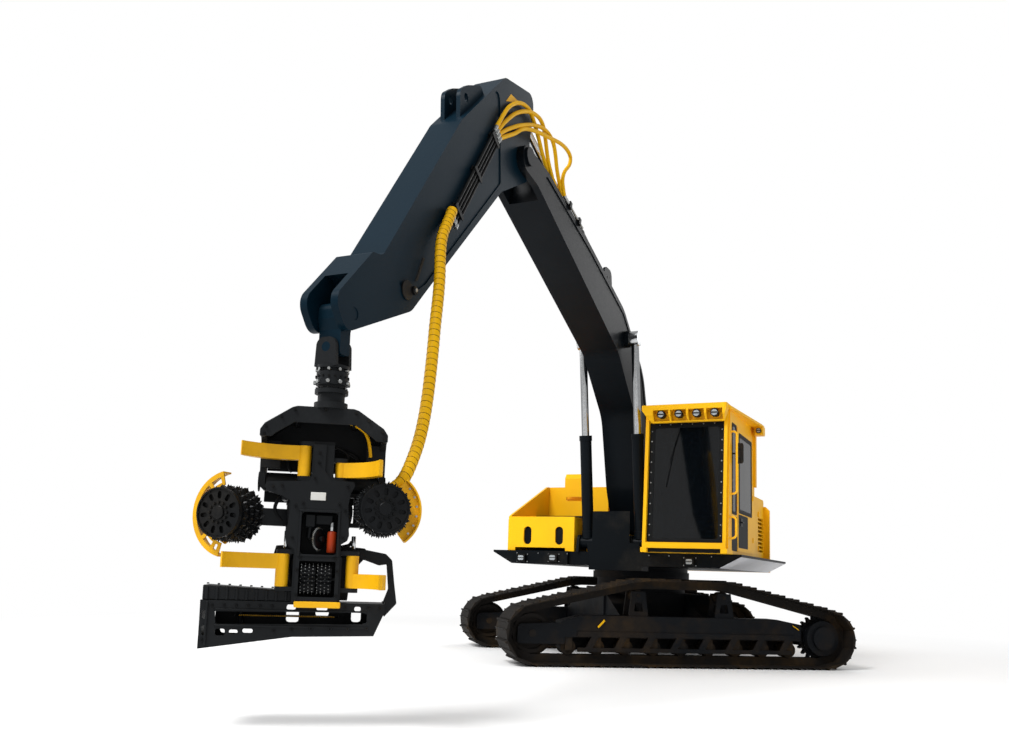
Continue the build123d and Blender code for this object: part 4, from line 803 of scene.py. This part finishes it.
def makeHeadLines():
    for i, route in enumerate(headLines):
        line = makeLine("head line", [headPlace(*p) for p in route], 0.013 if i % 2 else 0.016)
        makePiece("head_line_" + str(i + 1), settle(line, "head line"), "head_frame", blackRubber)
    bm = bmesh.new()
    for x, y, z, w, d, h in ((-0.030, 0.315, 1.500, 0.240, 0.030, 0.220),
                             (-0.030, 0.315, 1.180, 0.200, 0.030, 0.160),
                             (-0.205, 0.110, 1.640, 0.050, 0.120, 0.070),
                             (0.135, 0.130, 1.650, 0.030, 0.120, 0.060)):
        addPlate(bm, boxLoop(x - w / 2, z - h / 2, x + w / 2, z + h / 2), y - d / 2, y + d / 2, headFacing, 0.005)
    for i in range(7):
        addBar(bm, headPlace(-0.120 + i * 0.030, 0.330, 1.500), headPlace(-0.120 + i * 0.030, 0.352, 1.500), 0.011,
               sides=6)
    addPiece("valve_blocks", bm, "head_frame", blackBolt)
    # flared side plates that shield the lower knives' cylinders
    bm = bmesh.new()
    for shape, low, high in (
            ([(-0.185, 1.262), (-0.330, 1.250), (-0.345, 1.190), (-0.270, 1.120), (-0.250, 0.900), (-0.235, 0.872),
              (-0.185, 0.872)], 0.250, 0.268),
            ([(0.125, 1.262), (0.300, 1.250), (0.330, 1.210), (0.260, 1.130), (0.205, 1.020), (0.190, 0.872),
              (0.125, 0.872)], 0.250, 0.268),
            ([(-0.440, 1.560), (-0.440, 1.640), (-0.250, 1.640), (-0.250, 1.560)], 0.290, 0.308),
            ([(0.170, 1.560), (0.170, 1.640), (0.360, 1.640), (0.360, 1.560)], 0.290, 0.308)):
        addPlate(bm, shape, low, high, headFacing, 0.004)
    addPiece("side_shields", bm, "head_frame", headEnamel)
    bm = bmesh.new()
    for x, y, z in ((-0.205, 0.045, 1.660), (-0.205, 0.045, 1.625), (0.135, 0.065, 1.655), (0.135, 0.065, 1.630)):
        addBar(bm, headPlace(x, y, z), headPlace(x, y - 0.012, z), 0.014, sides=6)
    addPiece("valve_fittings", bm, "head_frame", zincSteel)


# saw box: front and back sheets with hand holes, end plates, a shelf under the bar and a ribbed cover
sawBox = {
    "front": [(-0.795, 0.532), (-0.180, 0.622), (0.381, 0.637), (0.450, 0.800), (0.450, 0.860), (-0.800, 0.860)],
    "slot": [(-0.690, 0.700), (0.298, 0.716), (0.330, 0.730), (0.330, 0.785), (0.298, 0.798), (-0.700, 0.785)],
    "holes": [(-0.785, 0.732, -0.755, 0.790), (-0.780, 0.620, -0.750, 0.690), (-0.690, 0.622, -0.625, 0.668),
              (-0.598, 0.634, -0.540, 0.664), (-0.510, 0.644, -0.440, 0.672), (-0.225, 0.808, -0.160, 0.842),
              (-0.020, 0.806, 0.055, 0.842), (0.240, 0.806, 0.285, 0.838)],
}


def roundBox(x0, z0, x1, z1, radius=0.012):
    loop = []
    for cx, cz, start in ((x1 - radius, z1 - radius, 0), (x0 + radius, z1 - radius, 90),
                          (x0 + radius, z0 + radius, 180), (x1 - radius, z0 + radius, 270)):
        for k in range(3):
            angle = radians(start + k * 45)
            loop.append((cx + radius * cos(angle), cz + radius * sin(angle)))
    return loop


def makeSawBox():
    bm = bmesh.new()
    holes = [sawBox["slot"]] + [roundBox(*h) for h in sawBox["holes"]]
    addHoledPlate(bm, sawBox["front"], holes, 0.060, 0.074, headFacing)
    backHoles = [roundBox(-0.240, 0.700, -0.150, 0.830, 0.02), roundBox(-0.030, 0.745, 0.065, 0.830, 0.02),
                 roundBox(0.230, 0.710, 0.300, 0.830, 0.02),
                 roundBox(-0.790, 0.620, -0.740, 0.800, 0.02), roundBox(-0.700, 0.615, -0.430, 0.680, 0.02)]
    addHoledPlate(bm, sawBox["front"], backHoles, 0.466, 0.480, headFacing)
    # top, bottom and end sheets
    addPlate(bm, [(-0.800, 0.074), (-0.185, 0.074), (-0.185, 0.466), (-0.800, 0.466)], 0.846, 0.8595,
             headPlace, 0.002)
    addPlate(bm, [(-0.185, 0.074), (0.125, 0.074), (0.125, 0.180), (-0.185, 0.180)], 0.846, 0.8595, headPlace,
             0.002)
    addPlate(bm, [(0.125, 0.074), (0.450, 0.074), (0.450, 0.466), (0.125, 0.466)], 0.846, 0.8595, headPlace, 0.002)
    for (u0, v0), (u1, v1) in zip(sawBox["front"][:4], sawBox["front"][1:5]):
        bm.faces.new([bm.verts.new(headPlace(*p)) for p in ((u0, 0.074, v0), (u1, 0.074, v1), (u1, 0.466, v1),
                (u0, 0.466, v0))])
        bm.faces.new([bm.verts.new(headPlace(*p)) for p in
                      ((u0, 0.074, v0 + 0.012), (u0, 0.466, v0 + 0.012), (u1, 0.466, v1 + 0.012),
                       (u1, 0.074, v1 + 0.012))])
    addPlate(bm, [(0.074, 0.532), (0.466, 0.532), (0.466, 0.860), (0.074, 0.860)], -0.800, -0.788, headSideways,
             0.002)
    # ribbed cover above on the left
    addPlate(bm, [(-0.790, 0.861), (-0.200, 0.861), (-0.190, 0.935), (-0.790, 0.962)], 0.070, 0.440, headFacing,
             0.006)
    for i in range(9):
        x = -0.770 + i * 0.066
        addPlate(bm, [(x, 0.864), (x + 0.018, 0.864), (x + 0.018, 0.955 - i * 0.003), (x, 0.955 - i * 0.003)],
                 0.058, 0.072, headFacing, 0.003)
    # shelf and lips along the bar's slot
    addPlate(bm, boxLoop(-0.700, 0.686, 0.330, 0.698), 0.050, 0.200, headFacing, 0.002)
    addPlate(bm, boxLoop(-0.700, 0.796, 0.330, 0.806), 0.050, 0.120, headFacing, 0.002)
    addPlate(bm, boxLoop(-0.760, 0.560, -0.745, 0.850), 0.046, 0.060, headFacing, 0.003)
    addPiece("saw_housing", bm, "head_frame", headEnamel)
    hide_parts("saw_box")
    # big side plate bent round the right lower knife
    bm = bmesh.new()
    outer = [(0.130, 1.235), (0.300, 1.240), (0.450, 1.215), (0.497, 1.170), (0.520, 1.000), (0.542, 0.862),
             (0.455, 0.764), (0.440, 0.861), (0.477, 0.965), (0.458, 1.140), (0.404, 1.130), (0.300, 1.165),
             (0.130, 1.180)]
    addPlate(bm, outer, 0.195, 0.235, headFacing, 0.005)
    addPiece("side_plate", bm, "head_frame", headEnamel)
    bolts = [(headPlace(x, 0.056, z), headFront, 1.0) for x, z in
             ((-0.720, 0.825), (-0.640, 0.828), (-0.560, 0.828), (-0.480, 0.828), (-0.400, 0.828), (-0.320, 0.828),
              (-0.090, 0.828), (0.110, 0.828), (0.180, 0.828), (0.340, 0.828), (0.420, 0.828), (-0.300, 0.660),
              (-0.180, 0.670), (-0.050, 0.680), (0.080, 0.682), (0.200, 0.684), (0.330, 0.690), (-0.770, 0.590))]
    bolts += [(headPlace(-0.78 + i * 0.074, 0.255, 0.966 - i * 0.003), up, 0.9) for i in range(8)]
    makeRepeats("saw_box_bolts", "head_frame", bolts, blackBolt)
    # chain on the edge of the bar
    rows = [(headPlace(-0.560 + i * 0.0135, 0.352, 0.748), headFront, 1.0) for i in range(50)]
    makeRepeats("saw_chain", "saw_bar", rows, rubbedEnamel, radius=0.007, height=0.010, sides=4)


# rotator: bolts round its flanges, and two rings of hose fittings
def makeRotator():
    bolts = []
    for out in spokes(16, Vector((1, 0, 0)), Vector((0, 1, 0))):
        bolts.append((Vector((0, -7.75, 2.354)) + out * 0.106, up, 0.9))
        bolts.append((Vector((0, -7.75, 2.440)) + out * 0.113, out, 0.8))
    makeRepeats("rotator_bolts", "rotator", bolts, blackBolt)
    bm = bmesh.new()
    for i in range(9):
        angle = 2 * pi * i / 9 + 0.2
        out = Vector((cos(angle), sin(angle), 0))
        foot = Vector((0, -7.75, 2.400)) + out * 0.111
        addBar(bm, foot, foot + out * 0.020, 0.015, sides=6)
        foot = Vector((0, -7.75, 2.490)) + out * 0.094
        addBar(bm, foot, foot + out * 0.026, 0.012, sides=6)
    addPiece("rotator_fittings", bm, "rotator", zincSteel)


# small studs in rows round the two wheels in the lower recess
def makeWheelStuds():
    low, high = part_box("head_wheels")
    radius = (high[2] - low[2]) / 2
    centre = (high[2] + low[2]) / 2
    rows = []
    for column in range(8):
        x = -0.139 + column * 0.0265 + (0.006 if column > 3 else 0)
        for out in spokes(22, headFront, up, 0.5 * (column % 2)):
            rows.append((headPlace(x, 0.112, centre) + out * (radius + 0.001), out, 1.0))
    makeRepeats("wheel_studs", "head_wheels", rows, zincSteel, radius=0.0055, height=0.008, sides=5, cone=True)


# drive motors behind the rollers' hubs, with their hose ends
def makeRollerMotors():
    for side in rollers:
        base, way, across = rollerAxes(side)
        bm = bmesh.new()
        addBar(bm, base - way * 0.072, base - way * 0.150, 0.080, sides=28)
        addBar(bm, base - way * 0.150, base - way * 0.175, 0.058, sides=28)
        for s in (-1, 1):
            addBar(bm, base - way * 0.120 + up * s * 0.078, base - way * 0.120 + up * s * 0.100, 0.016, sides=6)
        addPiece("roller_motor_" + side, bm, "feed_arm_" + side, headEnamel)


makeHeadFront()
makeWheelStuds()
makeRollerMotors()
makeRollerStuds()
makeArmGuards()
makeHood()
makeHeadLines()
makeSawBox()
makeRotator()
print("head dressed")


# the front of the cab leans back a little: u across, v up, w out from its face
def cabFront(u, v, w):
    return Vector((u, -1.676 + 0.139 * (v - 1.425) / 1.793 - w, v))


def sideways(u, v, w):
    return Vector((w, u, v))


def facingFront(u, v, w):
    return Vector((u, w, v))


# rows: name, body, place, outline box (u0, v0, u1, v1), hole box or None, depth from and to
cabSheets = {
    "seals": [
        ("upper", cabFront, (0.562, 1.556, 1.518, 3.086), (0.628, 1.600, 1.452, 3.010), 0.0008, 0.0075),
        ("upper", cabFront, (0.562, 1.428, 1.518, 1.477), None, 0.0008, 0.0060),
        ("upper", sideways, (-1.445, 1.925, -1.155, 3.075), (-1.410, 1.960, -1.190, 3.040), 1.5808, 1.5860),
        ("upper", sideways, (-1.455, 1.470, -1.120, 1.900), None, 1.5808, 1.5830),
        ("upper", sideways, (-1.375, 1.925, -0.035, 3.075), (-1.340, 1.960, -0.070, 3.040), 0.4940, 0.4992),
        ("upper", facingFront, (0.635, 2.275, 1.445, 3.075), (0.670, 2.310, 1.410, 3.040), 0.1448, 0.1500),
        ("cab_door", sideways, (-1.040, 1.960, -0.130, 3.000), (-1.000, 2.010, -0.160, 2.950), 1.5888, 1.5940),
        ("cab_door", sideways, (-1.060, 1.520, -0.420, 1.945), None, 1.5888, 1.5910),
    ],
    "panes": [
        ("upper", cabFront, (0.600, 1.580, 1.480, 3.040), None, 0.0002, 0.0006),
        ("upper", sideways, (-1.430, 1.940, -1.170, 3.060), None, 1.5802, 1.5806),
        ("upper", sideways, (-1.360, 1.940, -0.050, 3.060), None, 0.4994, 0.4998),
        ("upper", facingFront, (0.650, 2.290, 1.430, 3.060), None, 0.1442, 0.1446),
        ("cab_door", sideways, (-1.020, 1.980, -0.145, 2.980), None, 1.5882, 1.5886),
    ],
    "lining": [
        ("upper", sideways, (-1.560, 1.492, 0.055, 3.130), (-1.352, 1.948, -0.058, 3.052), 0.5808, 0.5860),
        ("upper", sideways, (-1.560, 1.492, -1.105, 3.130), (-1.422, 1.948, -1.178, 3.052), 1.4940, 1.4992),
        ("cab_door", sideways, (-1.060, 1.525, -0.090, 3.020), (-1.012, 1.998, -0.148, 2.962), 1.5200, 1.5292),
        ("upper", facingFront, (0.590, 1.492, 1.490, 3.130), (0.658, 2.298, 1.422, 3.052), 0.0560, 0.0632),
    ],
}


def makeCab():
    finishes = {"seals": blackRubber, "panes": tintedGlass, "lining": cabTrim}
    for kind, rows in cabSheets.items():
        for body in ("upper", "cab_door"):
            bm = bmesh.new()
            for owner, place, box, hole, low, high in rows:
                if owner == body:
                    holes = [roundBox(*hole, 0.03)] if hole else []
                    addHoledPlate(bm, roundBox(*box, 0.02), holes, low, high, place)
            addPiece("cab_" + kind if body == "upper" else "cab_door_" + kind, bm, body, finishes[kind])
    # floor mat, ceiling, bulkhead below the rear pane, side consoles with levers, screen and pedals
    bm = bmesh.new()
    for x, y, z in (((0.590, 1.490), (-1.600, 0.050), (1.4862, 1.498)),
                    ((0.590, 1.490), (-1.560, 0.050), (3.126, 3.136)),
                    ((0.600, 0.740), (-1.050, -0.200), (1.500, 1.960)),
                    ((1.345, 1.480), (-0.980, -0.300), (1.500, 1.900)),
                    ((0.590, 0.650), (-1.560, -1.380), (1.500, 2.280)),
                    ((1.440, 1.490), (-1.560, -1.440), (1.500, 2.280))):
        addPlate(bm, boxLoop(x[0], z[0], x[1], z[1]), y[0], y[1], facingFront, 0.010)
    for x in (0.860, 1.210):
        addPlate(bm, boxLoop(x - 0.05, 1.545, x + 0.05, 1.640), -1.450, -1.420, facingFront, 0.008)
        addBar(bm, (x, -1.440, 1.500), (x, -1.435, 1.580), 0.012, sides=10)
    addPlate(bm, boxLoop(0.640, 2.060, 0.860, 2.240), -1.300, -1.270, facingFront, 0.008)
    addBar(bm, (0.640, -1.290, 1.950), (0.700, -1.285, 2.080), 0.012, sides=10)
    addPiece("cab_interior", bm, "upper", cabTrim)
    bm = bmesh.new()
    for x in (0.700, 1.400):
        addBar(bm, (x, -0.900, 1.900 if x > 1 else 1.960), (x, -0.930, 2.080), 0.012, sides=10)
        addBar(bm, (x, -0.928, 2.075), (x, -0.945, 2.175), 0.026, sides=16)
    addPiece("cab_levers", bm, "upper", blackRubber, smooth=True)
    # bolts round the front pane and on the seals
    rows = []
    out = Vector((0, -1, 0.0775)).normalized()
    for i in range(11):
        z = 1.640 + i * 0.133
        rows += [(cabFront(0.594, z, 0.010), out, 1.0), (cabFront(1.486, z, 0.010), out, 1.0)]
    for i in range(6):
        rows.append((cabFront(0.690 + i * 0.140, 3.052, 0.010), out, 1.0))
    for z in (2.05, 2.35, 2.65, 2.95):
        rows += [(Vector((1.588, -1.428, z)), Vector((1, 0, 0)), 0.8),
                 (Vector((1.588, -1.172, z)), Vector((1, 0, 0)), 0.8)]
    makeRepeats("cab_bolts", "upper", rows, zincSteel, radius=0.009, height=0.007, sides=8)
    # wiper with its pivot, and the door's handle
    bm = bmesh.new()
    addBar(bm, cabFront(0.960, 3.030, 0.014), cabFront(0.960, 3.030, 0.040), 0.016, sides=14)
    addBar(bm, cabFront(0.960, 3.030, 0.030), cabFront(0.830, 2.560, 0.016), 0.006, sides=8)
    addBar(bm, cabFront(0.905, 2.860, 0.012), cabFront(0.790, 2.250, 0.012), 0.007, sides=8)
    addPiece("wiper", bm, "upper", blackRubber)
    bm = bmesh.new()
    addPlate(bm, boxLoop(-0.960, 1.800, -0.800, 1.900), 1.5912, 1.5980, sideways, 0.004)
    addBar(bm, (1.612, -0.940, 1.850), (1.612, -0.830, 1.850), 0.009, sides=12)
    for y in (-0.935, -0.835):
        addBar(bm, (1.595, y, 1.850), (1.612, y, 1.850), 0.008, sides=10)
    addPiece("door_handle", bm, "cab_door", blackBolt)


# lamps: a bezel, a lens and a dark bar across it
lampSpots = {
    "round": [(0.750, -1.743, 3.158, 0.050), (0.975, -1.743, 3.158, 0.050), (1.200, -1.743, 3.158, 0.050),
              (1.425, -1.743, 3.158, 0.050), (1.685, -0.123, 3.166, 0.037)],
    "square": [(-1.251, 1.324), (-0.792, 1.334), (1.049, 1.323)],
}


def makeLamps():
    lens, bezel, bar = bmesh.new(), bmesh.new(), bmesh.new()
    for x, y, z, radius in lampSpots["round"]:
        ring = 32
        rows = []
        for r, d in ((radius, 0.0003), (radius, 0.012), (radius * 0.80, 0.012), (radius * 0.80, 0.0003)):
            rows.append([bezel.verts.new((x + r * cos(2 * pi * k / ring), y - d,
                                          z + r * sin(2 * pi * k / ring))) for k in range(ring)])
        for m in range(4):
            joinRings(bezel, rows[m], rows[(m + 1) % 4])
        addBar(lens, (x, y - 0.0005, z), (x, y - 0.010, z), radius * 0.79, sides=32, edge=0.3)
        addPlate(bar, boxLoop(x - radius * 0.74, z - radius * 0.16, x + radius * 0.74, z + radius * 0.16),
                 y - 0.0125, y - 0.0102, facingFront, 0.001)
    rows = []
    for x, z in lampSpots["square"]:
        addPlate(bezel, boxLoop(x - 0.062, z - 0.053, x + 0.062, z + 0.053), -1.4635, -1.4565, facingFront, 0.003)
        addPlate(lens, roundBox(x - 0.040, z - 0.032, x + 0.040, z + 0.032, 0.016), -1.4680, -1.4640, facingFront,
                 0.002)
        addPlate(bar, boxLoop(x - 0.038, z - 0.005, x + 0.038, z + 0.005), -1.4700, -1.4682, facingFront, 0.0005)
        for s in (-1, 1):
            rows += [(Vector((x + s * 0.076, -1.406, z - 0.048)), Vector((0, -1, 0)), 1.0),
                     (Vector((x + s * 0.076, -1.406, z + 0.048)), Vector((0, -1, 0)), 1.0)]
    addPiece("lamp_lenses", lens, "upper", lampLens)
    addPiece("lamp_bezels", bezel, "upper", blackBolt)
    addPiece("lamp_bars", bar, "upper", blackBolt)
    makeRepeats("lamp_bolts", "upper", rows, zincSteel, radius=0.009, height=0.008, sides=8)


# seat cushions: boxes with round edges, swollen by cloth under pressure; no point moves further than "reach"
cushionCloth = {"pressure": 4.0, "frames": 20, "reach": 0.022, "voxel": 0.006, "quickVoxel": 0.012}
cushions = {
    "base": {"low": (0.800, -0.770, 1.790), "high": (1.280, -0.300, 1.930), "lean": 0.0},
    "back": {"low": (0.800, -0.330, 1.960), "high": (1.280, -0.245, 2.660), "lean": 0.14},
}


def makeCushion(name, spec):
    low, high = Vector(spec["low"]), Vector(spec["high"])
    bm = bmesh.new()
    bmesh.ops.create_cube(bm, size=1.0)
    for vert in bm.verts:
        share = vert.co + Vector((0.5, 0.5, 0.5))
        vert.co = Vector(low[i] + (high[i] - low[i]) * share[i] for i in range(3))
        vert.co.y += spec["lean"] * (vert.co.z - low.z)
    bmesh.ops.bevel(bm, geom=list(bm.edges), offset=0.030, segments=4, affect="EDGES")
    mesh = meshFrom(bm, name, True)
    obj = bpy.data.objects.new(name + " form", mesh)
    remesh = obj.modifiers.new("remesh", "REMESH")
    remesh.mode = "VOXEL"
    remesh.voxel_size = cushionCloth["voxel"]
    mesh = settle(obj, name)
    rest = [v.co.copy() for v in mesh.vertices]
    obj = bpy.data.objects.new(name + " form", mesh)
    cloth = obj.modifiers.new("cloth", "CLOTH")
    cloth.settings.use_pressure = True
    cloth.settings.uniform_pressure_force = cushionCloth["pressure"]
    cloth.settings.effector_weights.gravity = 0.0
    scene.collection.objects.link(obj)
    for step in range(1, cushionCloth["frames"] + 1):
        scene.frame_set(step)
    graph = bpy.context.evaluated_depsgraph_get()
    swollen = bpy.data.meshes.new_from_object(obj.evaluated_get(graph))
    bpy.data.objects.remove(obj)
    scene.frame_set(1)
    for vert, start in zip(swollen.vertices, rest):
        move = vert.co - start
        if move.length > cushionCloth["reach"]:
            vert.co = start + move.normalized() * cushionCloth["reach"]
    mesh = swollen
    for face in mesh.polygons:
        face.use_smooth = True
    # two sewn channels across the cushion, pressed in
    run, axis = (1, 2) if name == "seat_base" else (2, 1)
    for vert in mesh.vertices:
        for share in (0.33, 0.66):
            near = abs(vert.co[run] - (low[run] + (high[run] - low[run]) * share)) / 0.012
            if near < 1:
                middle = (low[axis] + high[axis]) / 2 + (spec["lean"] * (vert.co.z - low.z) if axis == 1 else 0)
                vert.co[axis] += (middle - vert.co[axis]) * 0.12 * (1 - near * near)
    piece = makePiece(name, mesh, "upper", seatCloth)
    return piece


def makeSeat():
    makeCushion("seat_base", cushions["base"])
    makeCushion("seat_back", cushions["back"])
    # pedestal, pan and back shell, and the armrests on their posts
    bm = bmesh.new()
    addPlate(bm, boxLoop(0.870, 1.500, 1.210, 1.760), -0.690, -0.330, facingFront, 0.020)
    addPlate(bm, boxLoop(0.790, 1.758, 1.290, 1.786), -0.770, -0.250, facingFront, 0.010)
    addPlate(bm, [(-0.232, 1.900), (-0.205, 1.900), (-0.110, 2.650), (-0.128, 2.650)], 0.800, 1.280, sideways,
             0.006)
    for x0, x1 in ((0.665, 0.765), (1.315, 1.415)):
        addPlate(bm, [(-1.000, 1.960), (-0.400, 1.930), (-0.400, 2.000), (-0.980, 2.035)], x0, x1, sideways, 0.018)
        addBar(bm, ((x0 + x1) / 2, -0.500, 1.700), ((x0 + x1) / 2, -0.500, 1.950), 0.020, sides=12)
    shell = addPiece("seat_shell", bm, "upper", cabTrim)
    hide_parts("seat")


# hard lines down the stick, in four clamped rows, with nuts where the hoses join
stickLines = {
    "starts": [(-5.604, 5.310), (-5.575, 5.283), (-5.545, 5.257), (-5.516, 5.230)],
    "way": (-0.572, -0.820),
    "length": 1.46,
    "radius": 0.014,
    "x": 0.186,
}


def makeStickLines():
    tubes, nuts, clamps = bmesh.new(), bmesh.new(), bmesh.new()
    x, (wayY, wayZ), length = stickLines["x"], stickLines["way"], stickLines["length"]
    for y, z in stickLines["starts"]:
        start = Vector((x, y, z))
        way = Vector((0, wayY, wayZ))
        addBar(tubes, start, start + way * length, stickLines["radius"], sides=14)
        for a, b, r in ((0.0, 0.050, 0.021), (0.052, 0.085, 0.017), (length - 0.050, length, 0.021)):
            addBar(nuts, start + way * a, start + way * b, r, sides=6)
    cross = Vector((0, -wayZ, wayY))
    middle = Vector((x, -5.560, 5.270))
    for share in (0.10, 0.50, 0.90):
        centre = middle + Vector((0, wayY, wayZ)) * length * share
        for half, low, high in ((0.030, 0.1615, 0.172), (0.022, 0.1995, 0.207)):
            addPlate(clamps, boxLoop(-0.085, -half, 0.085, half), low, high,
                     lambda u, v, w: Vector((w, centre.y + cross.y * u + wayY * v,
                                             centre.z + cross.z * u + wayZ * v)), 0.002)
    piece = addPiece("stick_lines", tubes, "stick", blackBolt)
    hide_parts("stick_tubes")
    addPiece("stick_line_nuts", nuts, "stick", zincSteel)
    addPiece("stick_line_clamps", clamps, "stick", blackBolt)


# pale grey painted light on the deck's sloping left side, standing in for the light that falls on the skirt, in
# sheets with their seams, and bolts along the deck's front
def makeDeck():
    bm = bmesh.new()
    slope = Vector((0.150, 0, -0.277)).normalized()
    rise = Vector((0.277, 0, 0.150)).normalized()

    def onSkirt(u, v, w):
        return Vector((1.413, u, 1.250)) + rise * v * 0.985 + slope * w

    for y0, y1 in ((-1.399, -0.162), (-0.158, 1.072), (1.076, 2.298)):
        addPlate(bm, [(y0, 0.004), (y1, 0.004), (y1, 0.308), (y0, 0.308)], 0.0005, 0.003,
                 onSkirt, 0.0008)
    addPiece("deck_side_painted_light", bm, "upper", skirtPaintedLight)
    rows = []
    for x in (-1.33, -1.02, -0.60, 0.52, 0.78, 1.32):
        rows.append((Vector((x, -1.405, 1.390)), Vector((0, -1, 0)), 0.9))
    makeRepeats("deck_bolts", "upper", rows, zincSteel, radius=0.009, height=0.008, sides=6)


def declareCords():
    for i, route in enumerate(tipHoses["routes"]):
        cordLength(route)
    cordLength(bundle["route"])


# length of the smooth line that a route's points make
def cordLength(route):
    line = makeLine("measured line", route, 0.0)
    mesh = settle(line, "measured line")
    return sum((mesh.vertices[a].co - mesh.vertices[b].co).length for a, b in (edge.vertices for edge in mesh.edges))


# small marks and parts: a blank triangle, a wire loop, pin bosses with a nut, and the mirror's arm
def makeArmMarks():
    bm = bmesh.new()
    addPlate(bm, [(-5.257, 5.815), (-5.036, 5.829), (-5.367, 5.687)], 0.1608, 0.1625, sideways, 0.0004)
    addPiece("stick_marker", bm, "stick", yellowNylon)
    loop = makeLine("wire loop", [(0.05, -4.78, 6.00), (0.05, -4.72, 6.09), (0.03, -4.60, 6.12),
                                  (0.00, -4.52, 6.09), (-0.02, -4.60, 6.05), (-0.01, -4.76, 5.98)], 0.006)
    makePiece("wire_loop", settle(loop, "wire loop"), "stick", blackRubber)
    bm = bmesh.new()
    for y, z, radius, deep in ((-7.060, 3.275, 0.080, 0.012), (-6.965, 3.300, 0.034, 0.030)):
        addBar(bm, (0.1605, y, z), (0.1605 + deep, y, z), radius, sides=28)
    addPlate(bm, [(-6.840, 3.610), (-6.800, 3.625), (-6.900, 3.400), (-6.940, 3.385)], 0.1606, 0.1660, sideways,
             0.002)
    addPiece("stick_bosses", bm, "stick", blackBolt)
    bm = bmesh.new()
    addBar(bm, (0.1910, -6.965, 3.300), (0.1990, -6.965, 3.300), 0.018, sides=6)
    addPiece("stick_pin_nut", bm, "stick", zincSteel)
    # bracket that carries the mirror from the upper grab rail
    bm = bmesh.new()
    for z in (2.640, 2.760):
        addBar(bm, (1.648, -1.480, z), (1.648, -1.292, z), 0.008, sides=10)
    addPiece("mirror_arm", bm, "upper", blackBolt)


# undercarriage: dark sheets behind the rollers and yellow tie-down marks
def makeUnderMarks():
    bm = bmesh.new()
    for s in (-1, 1):
        low, high = sorted((s * (1.400 - 0.132), s * (1.400 - 0.136)))
        addPlate(bm, boxLoop(-1.550, 0.225, 1.560, 0.450), low, high, lowerSideways, 0.001)
    addPiece("roller_backing", bm, "undercarriage", frameSteel)
    bm = bmesh.new()
    for y, lean in ((-1.080, 1), (1.560, -1)):
        corners = [(y - 0.050, 0.520 - 0.035 * lean), (y - 0.035, 0.500 - 0.035 * lean),
                   (y + 0.050, 0.520 + 0.035 * lean), (y + 0.035, 0.540 + 0.035 * lean)]
        for s in (-1, 1):
            low, high = sorted((s * 1.5605, s * 1.5625))
            addPlate(bm, corners, low, high, lowerSideways, 0.0004)
    addPiece("tie_marks", bm, "undercarriage", yellowNylon)
    # dark sheets behind the tray's hand holes
    bm = bmesh.new()
    addPlate(bm, boxLoop(-1.300, 1.480, -0.660, 1.790), -1.322, -1.316, facingFront, 0.002)
    addPiece("port_backing", bm, "upper", deckEnamel)


makeCab()
makeLamps()
makeSeat()
print("cab dressed")
makeStickLines()
makeDeck()
makeArmMarks()
makeUnderMarks()
declareCords()
print("lines and deck dressed")


# floor and light: lamps are name, place, size and power
studio = {
    "floor": 60,
    "fade": (5.5, 12.0),
    "light": 0.52,
    "lamps": [("key", (-4, -17, 17), 7, 3900), ("fill", (-14, -8, 9), 9, 500), ("back", (2, 12, 12), 9, 500)],
    "aim": (0, -3, 2),
}


def makeStudio():
    half = studio["floor"]
    mesh = bpy.data.meshes.new("floor")
    mesh.from_pydata([(-half, -half, 0), (half, -half, 0), (half, half, 0), (-half, half, 0)], [], [(0, 1, 2, 3)])
    floor = bpy.data.objects.new("floor", mesh)
    scene.collection.objects.link(floor)
    material, tree, surface = newMaterial("pale studio floor", Roughness=0.9)
    surface.inputs["Base Color"].default_value = colour("#FFFFFF")
    # far from the machine the floor turns into the white of the backdrop
    place = objectPlace(tree)
    reach = addNode(tree, "ShaderNodeVectorMath", {0: place}, operation="LENGTH")
    near, far = studio["fade"]
    fade = addNode(tree, "ShaderNodeMapRange", {"Value": reach.outputs["Value"], "From Min": near, "From Max": far},
                   interpolation_type="SMOOTHSTEP")
    white = addNode(tree, "ShaderNodeEmission")
    both = addNode(tree, "ShaderNodeMixShader", {0: fade.outputs[0], 1: surface.outputs[0], 2: white.outputs[0]})
    out = next(node for node in tree.nodes if node.bl_idname == "ShaderNodeOutputMaterial")
    tree.links.new(both.outputs[0], out.inputs["Surface"])
    mesh.materials.append(material)
    world = bpy.data.worlds.new("studio")
    scene.world = world
    world.use_nodes = True
    tree = world.node_tree
    path = addNode(tree, "ShaderNodeLightPath").outputs
    seen = addNode(tree, "ShaderNodeMath", {0: path["Is Camera Ray"], 1: path["Is Transmission Ray"]},
                   operation="MAXIMUM")
    level = addNode(tree, "ShaderNodeMapRange", {"Value": seen.outputs[0], "To Min": studio["light"],
                                                 "To Max": 1.0})
    sky = tree.nodes["Background"]
    sky.inputs["Color"].default_value = (1, 1, 1, 1)
    tree.links.new(level.outputs[0], sky.inputs["Strength"])
    for name, place, size, power in studio["lamps"]:
        lamp = bpy.data.lights.new(name, "AREA")
        lamp.size = size
        lamp.energy = power
        obj = bpy.data.objects.new(name, lamp)
        obj.location = place
        obj.rotation_euler = (Vector(studio["aim"]) - Vector(place)).to_track_quat("-Z", "Y").to_euler()
        scene.collection.objects.link(obj)


makeStudio()
print("studio set")
